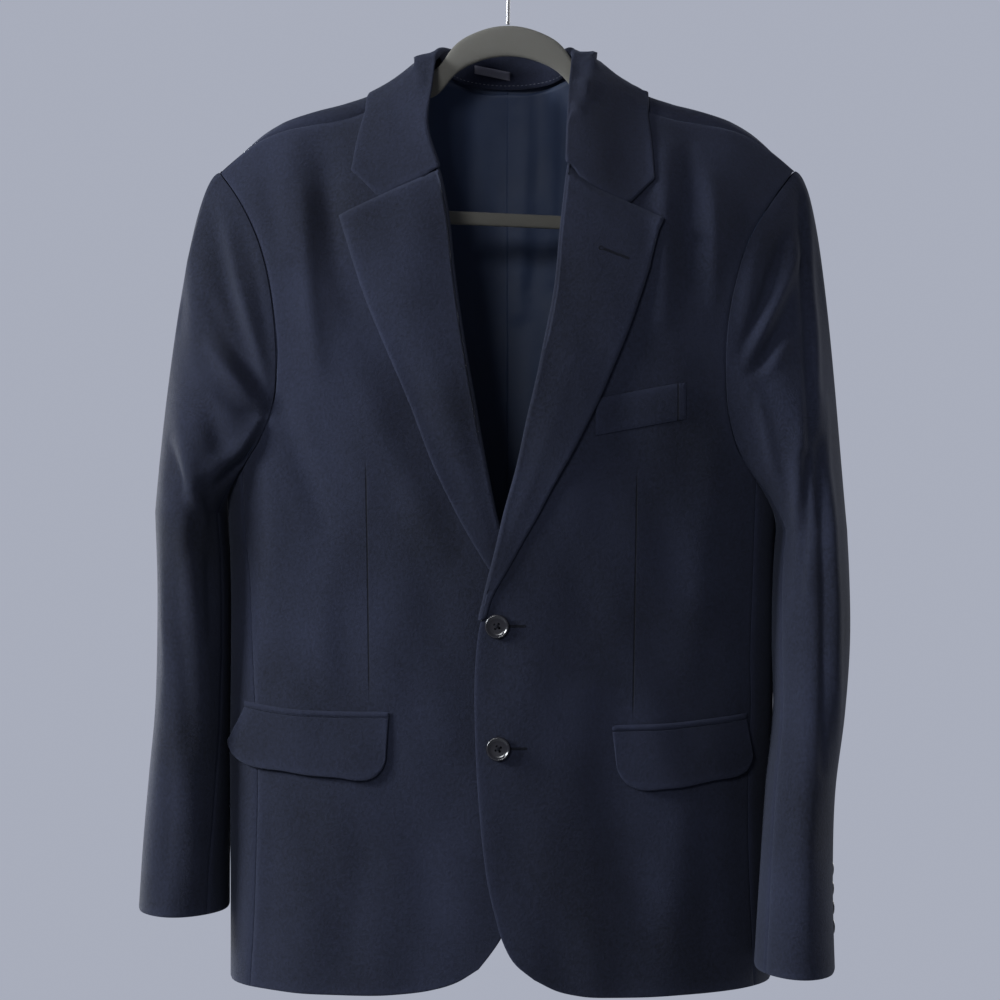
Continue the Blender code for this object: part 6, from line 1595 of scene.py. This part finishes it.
def stitch_row(tool, name, points, outs, sizes, thread, closed):
    """A row of stitches along a line of points on the cloth."""
    count = len(points)
    edges = [(k, (k + 1) % count) for k in range(count if closed else count - 1)]
    mesh = bpy.data.meshes.new(name)
    mesh.from_pydata([tuple(p) for p in points], edges, [])
    out = mesh.attributes.new("out", "FLOAT_VECTOR", "POINT")
    out.data.foreach_set("vector", np.asarray(outs, np.float32).ravel())
    line = shown(name, mesh)
    sewing = line.modifiers.new("stitches", "NODES")
    sewing.node_group = tool
    values = {**sizes, "Thread": thread}
    for item in tool.interface.items_tree:
        if item.in_out == "INPUT" and item.name in values:
            sewing[item.identifier] = values[item.name]
    sewn = worked(line)
    line.modifiers.remove(sewing)
    line.data = sewn
    attach(line, "shell_cloth")


def hole_line(tree, start, end, eye):
    """A closed line round a buttonhole's slit: rounded at the end, an eye at the start."""
    start, end = np.array(start), np.array(end)
    length = np.linalg.norm(end - start)
    way = (end - start) / length
    up = np.array([-way[1], way[0]])

    def bow(middle, radius, turns):
        angles = [2 * math.pi * a for a in turns]
        return [middle + radius * (way * math.cos(a) + up * math.sin(a)) for a in angles]

    def side(shares, offset):
        return [start + way * length * share + up * offset for share in shares]

    flat = bow(start, eye, np.linspace(0.25, 0.75, 9))
    flat += side(np.linspace(eye / length, 1, 14), -HOLE_HALF)
    flat += bow(end, HOLE_HALF, np.linspace(-0.25, 0.25, 7)[1:-1])
    flat += side(np.linspace(1, eye / length, 14), HOLE_HALF)
    return zip(*[seen_at(tree, x, z) for x, z in flat])


def make_stitches(grids, lapel_faces, collar, looks):
    tool = stitch_tool()
    front = cloth_tree(grids["front_left"])
    for name, x, z in FRONT_BUTTONS:
        points, outs = hole_line(front, (x - HOLE_BEHIND, z), (x + HOLE_REACH, z), HOLE_EYE)
        stitch_row(tool, "look_" + name.replace("front_button", "buttonhole"), points, outs,
                   HOLE_STITCH, looks["thread"], True)
    points, outs = hole_line(cloth_tree(lapel_faces["left"]), *LAPEL_HOLE, LAPEL_HOLE_EYE)
    stitch_row(tool, "look_lapel_buttonhole", points, outs, LAPEL_HOLE_STITCH,
               looks["thread"], True)
    inner = (COLLAR_PLACES > NECK_STITCH_FROM) & (COLLAR_PLACES < 1 - NECK_STITCH_FROM)
    points = collar[inner, 1] + np.array([0, -NECK_STITCH_OFF, 0])
    outs = np.tile(NECK_STITCH_OUT, (len(points), 1))
    stitch_row(tool, "look_neck_stitches", points, outs, NECK_STITCH, looks["pale_thread"], False)


# ---------------------------------------------------------------- hanger
def smooth_copy(name, node, material, slot):
    """A CAD node's shape as one smooth mesh: a copy, merged, in quads and subdivided."""
    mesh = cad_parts[node].data.copy()
    made = bmesh.new()
    made.from_mesh(mesh)
    bmesh.ops.remove_doubles(made, verts=made.verts, dist=1e-5)
    bmesh.ops.join_triangles(made, faces=made.faces, angle_face_threshold=QUAD_FACE_ANGLE,
                             angle_shape_threshold=QUAD_SHAPE_ANGLE)
    bmesh.ops.recalc_face_normals(made, faces=made.faces)
    made.to_mesh(mesh)
    made.free()
    mesh.shade_smooth()
    thing = dressed(name, mesh, material)
    finer = thing.modifiers.new("finer", "SUBSURF")
    finer.levels = finer.render_levels = HANGER_LEVELS
    done = worked(thing)
    thing.modifiers.remove(finer)
    thing.data = done
    attach(thing, slot, node)


# ---------------------------------------------------------------- finishes
def new_material(name):
    material = bpy.data.materials.new(name)
    material.use_nodes = True
    return material, material.node_tree, material.node_tree.nodes["Principled BSDF"]


def plug(tree, inputs, values):
    """Set or link inputs by name, or by number, as i0 and i1."""
    for key, value in values.items():
        socket = inputs[int(key[1:]) if key[1:].isdigit() else key.replace("_", " ")]
        if isinstance(value, bpy.types.NodeSocket):
            tree.links.new(value, socket)
        else:
            socket.default_value = value


def add(tree, kind, settings=None, **values):
    """A node with its settings and its inputs, set or linked; returns its outputs."""
    made = tree.nodes.new(kind)
    for key, value in (settings or {}).items():
        setattr(made, key, value)
    plug(tree, made.inputs, values)
    return made.outputs


def maths(tree, operation, *values):
    inputs = {f"i{k}": value for k, value in enumerate(values)}
    return add(tree, "ShaderNodeMath", {"operation": operation}, **inputs)["Value"]


def weighed(tree, start, *parts):
    """A starting value plus outputs times their weights."""
    total = start
    for output, weight in parts:
        total = maths(tree, "MULTIPLY_ADD", output, weight, total)
    return total


def noise(tree, vector, scale, detail=2.0, roughness=0.5):
    return add(tree, "ShaderNodeTexNoise", None, Vector=vector, Scale=scale, Detail=detail,
               Roughness=roughness)["Fac"]


def mixed(tree, factor, dark, light):
    return add(tree, "ShaderNodeMix", {"data_type": "RGBA"}, i0=factor, i6=dark, i7=light)[2]


def bump(tree, height, strength, distance, **under):
    return add(tree, "ShaderNodeBump", None, Strength=strength, Distance=distance, Height=height,
               **under)["Normal"]


def line_mask(tree, across, along, line, half):
    """1 on a line between two places, 0 beyond its half width."""
    x0, z0, x1, z1 = line
    slope = (x1 - x0) / (z1 - z0)
    middle = weighed(tree, x0 - z0 * slope, (along, slope))
    away = maths(tree, "ABSOLUTE", maths(tree, "SUBTRACT", across, middle))
    near = add(tree, "ShaderNodeMapRange", {"interpolation_type": "SMOOTHSTEP"}, Value=away,
               From_Min=0.0, From_Max=half, To_Min=1.0, To_Max=0.0)["Result"]
    low, high = min(z0, z1), max(z0, z1)
    ends = [add(tree, "ShaderNodeMapRange", None, Value=along, From_Min=end,
                From_Max=inner)["Result"]
            for end, inner in ((low, low + LINE_FADE), (high, high - LINE_FADE))]
    return maths(tree, "MULTIPLY", near, maths(tree, "MULTIPLY", *ends))


def wool(name, line=None, on_cut=False):
    """Fine navy twill: slanted ribs, mixed yarns, faint sheen, edges lighter for wear and a
    painted highlight, and a sewn line darkened with painted shade.
    """
    material, tree, shader = new_material(name)
    places = tree.nodes.new("ShaderNodeTexCoord").outputs
    cut, spot = places["UV"], places["Object"]
    ribs = add(tree, "ShaderNodeTexWave", {"bands_direction": "DIAGONAL"}, Vector=cut,
               Scale=TWILL_SCALE, Distortion=6.0, Detail=2.5, Detail_Scale=2.2)["Fac"]
    yarn = noise(tree, cut, YARN_SCALE, 2.0, 0.7)
    fuzz = noise(tree, spot, FUZZ_SCALE, 3.0, 0.6)
    cloud = noise(tree, spot, CLOUD_SCALE)
    seam = add(tree, "ShaderNodeAttribute", {"attribute_name": "seam"})["Fac"]
    mix = weighed(tree, WOOL_MIX_START, *zip((ribs, yarn, fuzz, cloud), WOOL_MIX))
    colour = mixed(tree, mix, (*WOOL_DARK, 1), (*WOOL_LIGHT, 1))
    # seams and edges lighter: partly wear, partly a painted highlight along them
    wear_and_shine_colour = tuple(c * WORN_AND_SHINE_LIGHT for c in WOOL_LIGHT)
    colour = mixed(tree, maths(tree, "MULTIPLY", seam, EDGE_WEAR_AND_SHINE), colour, (*wear_and_shine_colour, 1))
    height = weighed(tree, 0.0, *zip((ribs, yarn), WOOL_RELIEF))
    if line:
        split = add(tree, "ShaderNodeSeparateXYZ", None, Vector=cut if on_cut else spot)
        mask = line_mask(tree, split["X"], split["Y" if on_cut else "Z"], line, SEWN_LINE)
        height = weighed(tree, height, (mask, -SEWN_DEPTH))
        # painted shade darkens the sewn line's groove
        shadow = tuple(c * SEWN_SHADE for c in WOOL_DARK)
        colour = mixed(tree, maths(tree, "MULTIPLY", mask, SEWN_SHOWS), colour, (*shadow, 1))
    plug(tree, shader.inputs, {
        "Base Color": colour,
        "Roughness": WOOL_ROUGHNESS, "Specular IOR Level": WOOL_SPECULAR,
        "Normal": bump(tree, fuzz, *NAP_BUMP, Normal=bump(tree, height, *WEAVE_BUMP)),
        "Sheen Weight": WOOL_SHEEN, "Sheen Roughness": 0.42, "Sheen Tint": WOOL_SHEEN_TINT})
    return material


def satin(name):
    """Lining satin: fine cross ribs, soft gloss and faint puckers."""
    material, tree, shader = new_material(name)
    places = tree.nodes.new("ShaderNodeTexCoord").outputs
    ribs = add(tree, "ShaderNodeTexWave", {"bands_direction": "Y"}, Vector=places["UV"],
               Scale=SATIN_SCALE, Distortion=0.4, Detail=1.0)["Fac"]
    cloud = noise(tree, places["Object"], PUCKER_SCALE, 3.0)
    mix = weighed(tree, 0.0, (ribs, 0.3), (cloud, 0.7))
    plug(tree, shader.inputs, {
        "Base Color": mixed(tree, mix, (*SATIN_DARK, 1), (*SATIN_LIGHT, 1)),
        "Roughness": weighed(tree, SATIN_ROUGHNESS, (cloud, 0.16)),
        "Normal": bump(tree, cloud, *PUCKER_BUMP, Normal=bump(tree, ribs, *RIB_BUMP)),
        "Sheen Weight": 0.04, "Specular IOR Level": SATIN_SPECULAR, "Anisotropic": 0.5})
    return material


def spun(name, dark, light, roughness, scale, sheen, relief, metallic=0.0, gloss=0.5):
    """A finish of mottled colour and fine relief: thread, tape, horn, flock or wire."""
    material, tree, shader = new_material(name)
    places = tree.nodes.new("ShaderNodeTexCoord").outputs["Object"]
    fine = noise(tree, places, scale, 3.0, 0.65)
    broad = noise(tree, places, scale * 0.06)
    mix = weighed(tree, 0.0, (fine, 0.65), (broad, 0.35))
    plug(tree, shader.inputs, {
        "Base Color": mixed(tree, mix, (*dark, 1), (*light, 1)),
        "Roughness": weighed(tree, roughness - 0.1, (broad, 0.2)),
        "Normal": bump(tree, fine, 0.6, relief), "Metallic": metallic, "Sheen Weight": sheen,
        "Specular IOR Level": gloss})
    return material


# ---------------------------------------------------------------- studio
def aimed(name, place, at, energy, colour, size):
    lamp = bpy.data.lights.new(name, "AREA")
    lamp.energy = energy
    lamp.color = colour
    lamp.size = size
    thing = shown(name, lamp)
    thing.location = place
    thing.rotation_euler = (Vector(at) - Vector(place)).to_track_quat("-Z", "Y").to_euler()


def make_studio():
    scene = bpy.context.scene
    camera = shown("camera", bpy.data.cameras.new("camera"))
    camera.data.sensor_width = CAMERA_SENSOR
    camera.data.lens = CAMERA_SENSOR * CAMERA_AWAY / (PHOTO_SIDE * PIXEL)
    camera.location = (CAMERA_X, -CAMERA_AWAY, CAMERA_Z)
    camera.rotation_euler = (math.pi / 2, 0, 0)
    scene.camera = camera
    scene.view_settings.view_transform = "Standard"
    world = bpy.data.worlds.new("studio")
    world.use_nodes = True
    sky = world.node_tree.nodes["Background"]
    sky.inputs["Color"].default_value = (*WORLD_COLOUR, 1)
    sky.inputs["Strength"].default_value = WORLD_STRENGTH
    scene.world = world
    for lamp in LAMPS:
        aimed(*lamp)
    mesh = bpy.data.meshes.new("floor")
    ends = (-FLOOR_HALF, FLOOR_HALF)
    mesh.from_pydata([(x, y, FLOOR_Z) for x in ends for y in ends], [], [(0, 2, 3, 1)])
    pale = spun("pale_floor", FLOOR_DARK, FLOOR_LIGHT, 0.8, 60.0, 0.0, 0.0005)
    floor = dressed("floor", mesh, pale)


# ---------------------------------------------------------------- build
make_studio()
looks = {
    "wool": wool("navy_wool"),
    "front_right": wool("navy_wool_front_right", DARTS["right"]),
    "front_left": wool("navy_wool_front_left", DARTS["left"]),
    "welt": wool("navy_wool_welt", WELT_LINE, on_cut=True),
    "lining": satin("lining"),
    "satin": satin("lining_satin"),
    "horn": spun("dark_horn", (0.0012, 0.0012, 0.0020), (0.0060, 0.0056, 0.0075), 0.22, 900.0,
                 0.0, 0.00003, gloss=0.30),
    "thread": spun("navy_thread", (0.0006, 0.0007, 0.0014), (0.0024, 0.0028, 0.0050), 0.8,
                   4000.0, 0.0, 0.0001, gloss=0.08),
    "pale_thread": spun("grey_thread", (0.030, 0.032, 0.044), (0.065, 0.067, 0.085), 0.7,
                        4000.0, 0.1, 0.0001),
    "tape": spun("loop_tape", (0.020, 0.019, 0.030), (0.042, 0.040, 0.058), 0.6, 1800.0,
                 0.06, 0.0002),
    "flock": spun("grey_flock", (0.020, 0.0188, 0.0150), (0.043, 0.040, 0.033), 0.9, 2600.0,
                  0.04, 0.0004),
    "wire": spun("dark_wire", (0.045, 0.044, 0.046), (0.12, 0.118, 0.12), 0.36, 700.0, 0.0,
                 0.00004, metallic=1.0),
}
grids = {}
for side in SIDES:
    grids["front_" + side] = front_grid(side)
    grids["side_panel_" + side] = side_grid(side)
    grids["back_" + side] = back_grid(side)
make_panels(grids, looks)
sleeves = make_sleeves(looks)
lapel_faces = make_lapels(grids, looks)
collar = make_collar(grids, looks)
make_pockets(grids, looks)
make_lining(grids, looks)
make_loop(collar, looks)
make_buttons(grids, sleeves, looks)
make_stitches(grids, lapel_faces, collar, looks)
smooth_copy("look_hanger", "hanger", looks["flock"], "hanger_flock")
smooth_copy("look_hanger_hook", "hanger_hook", looks["wire"], "hook_wire")
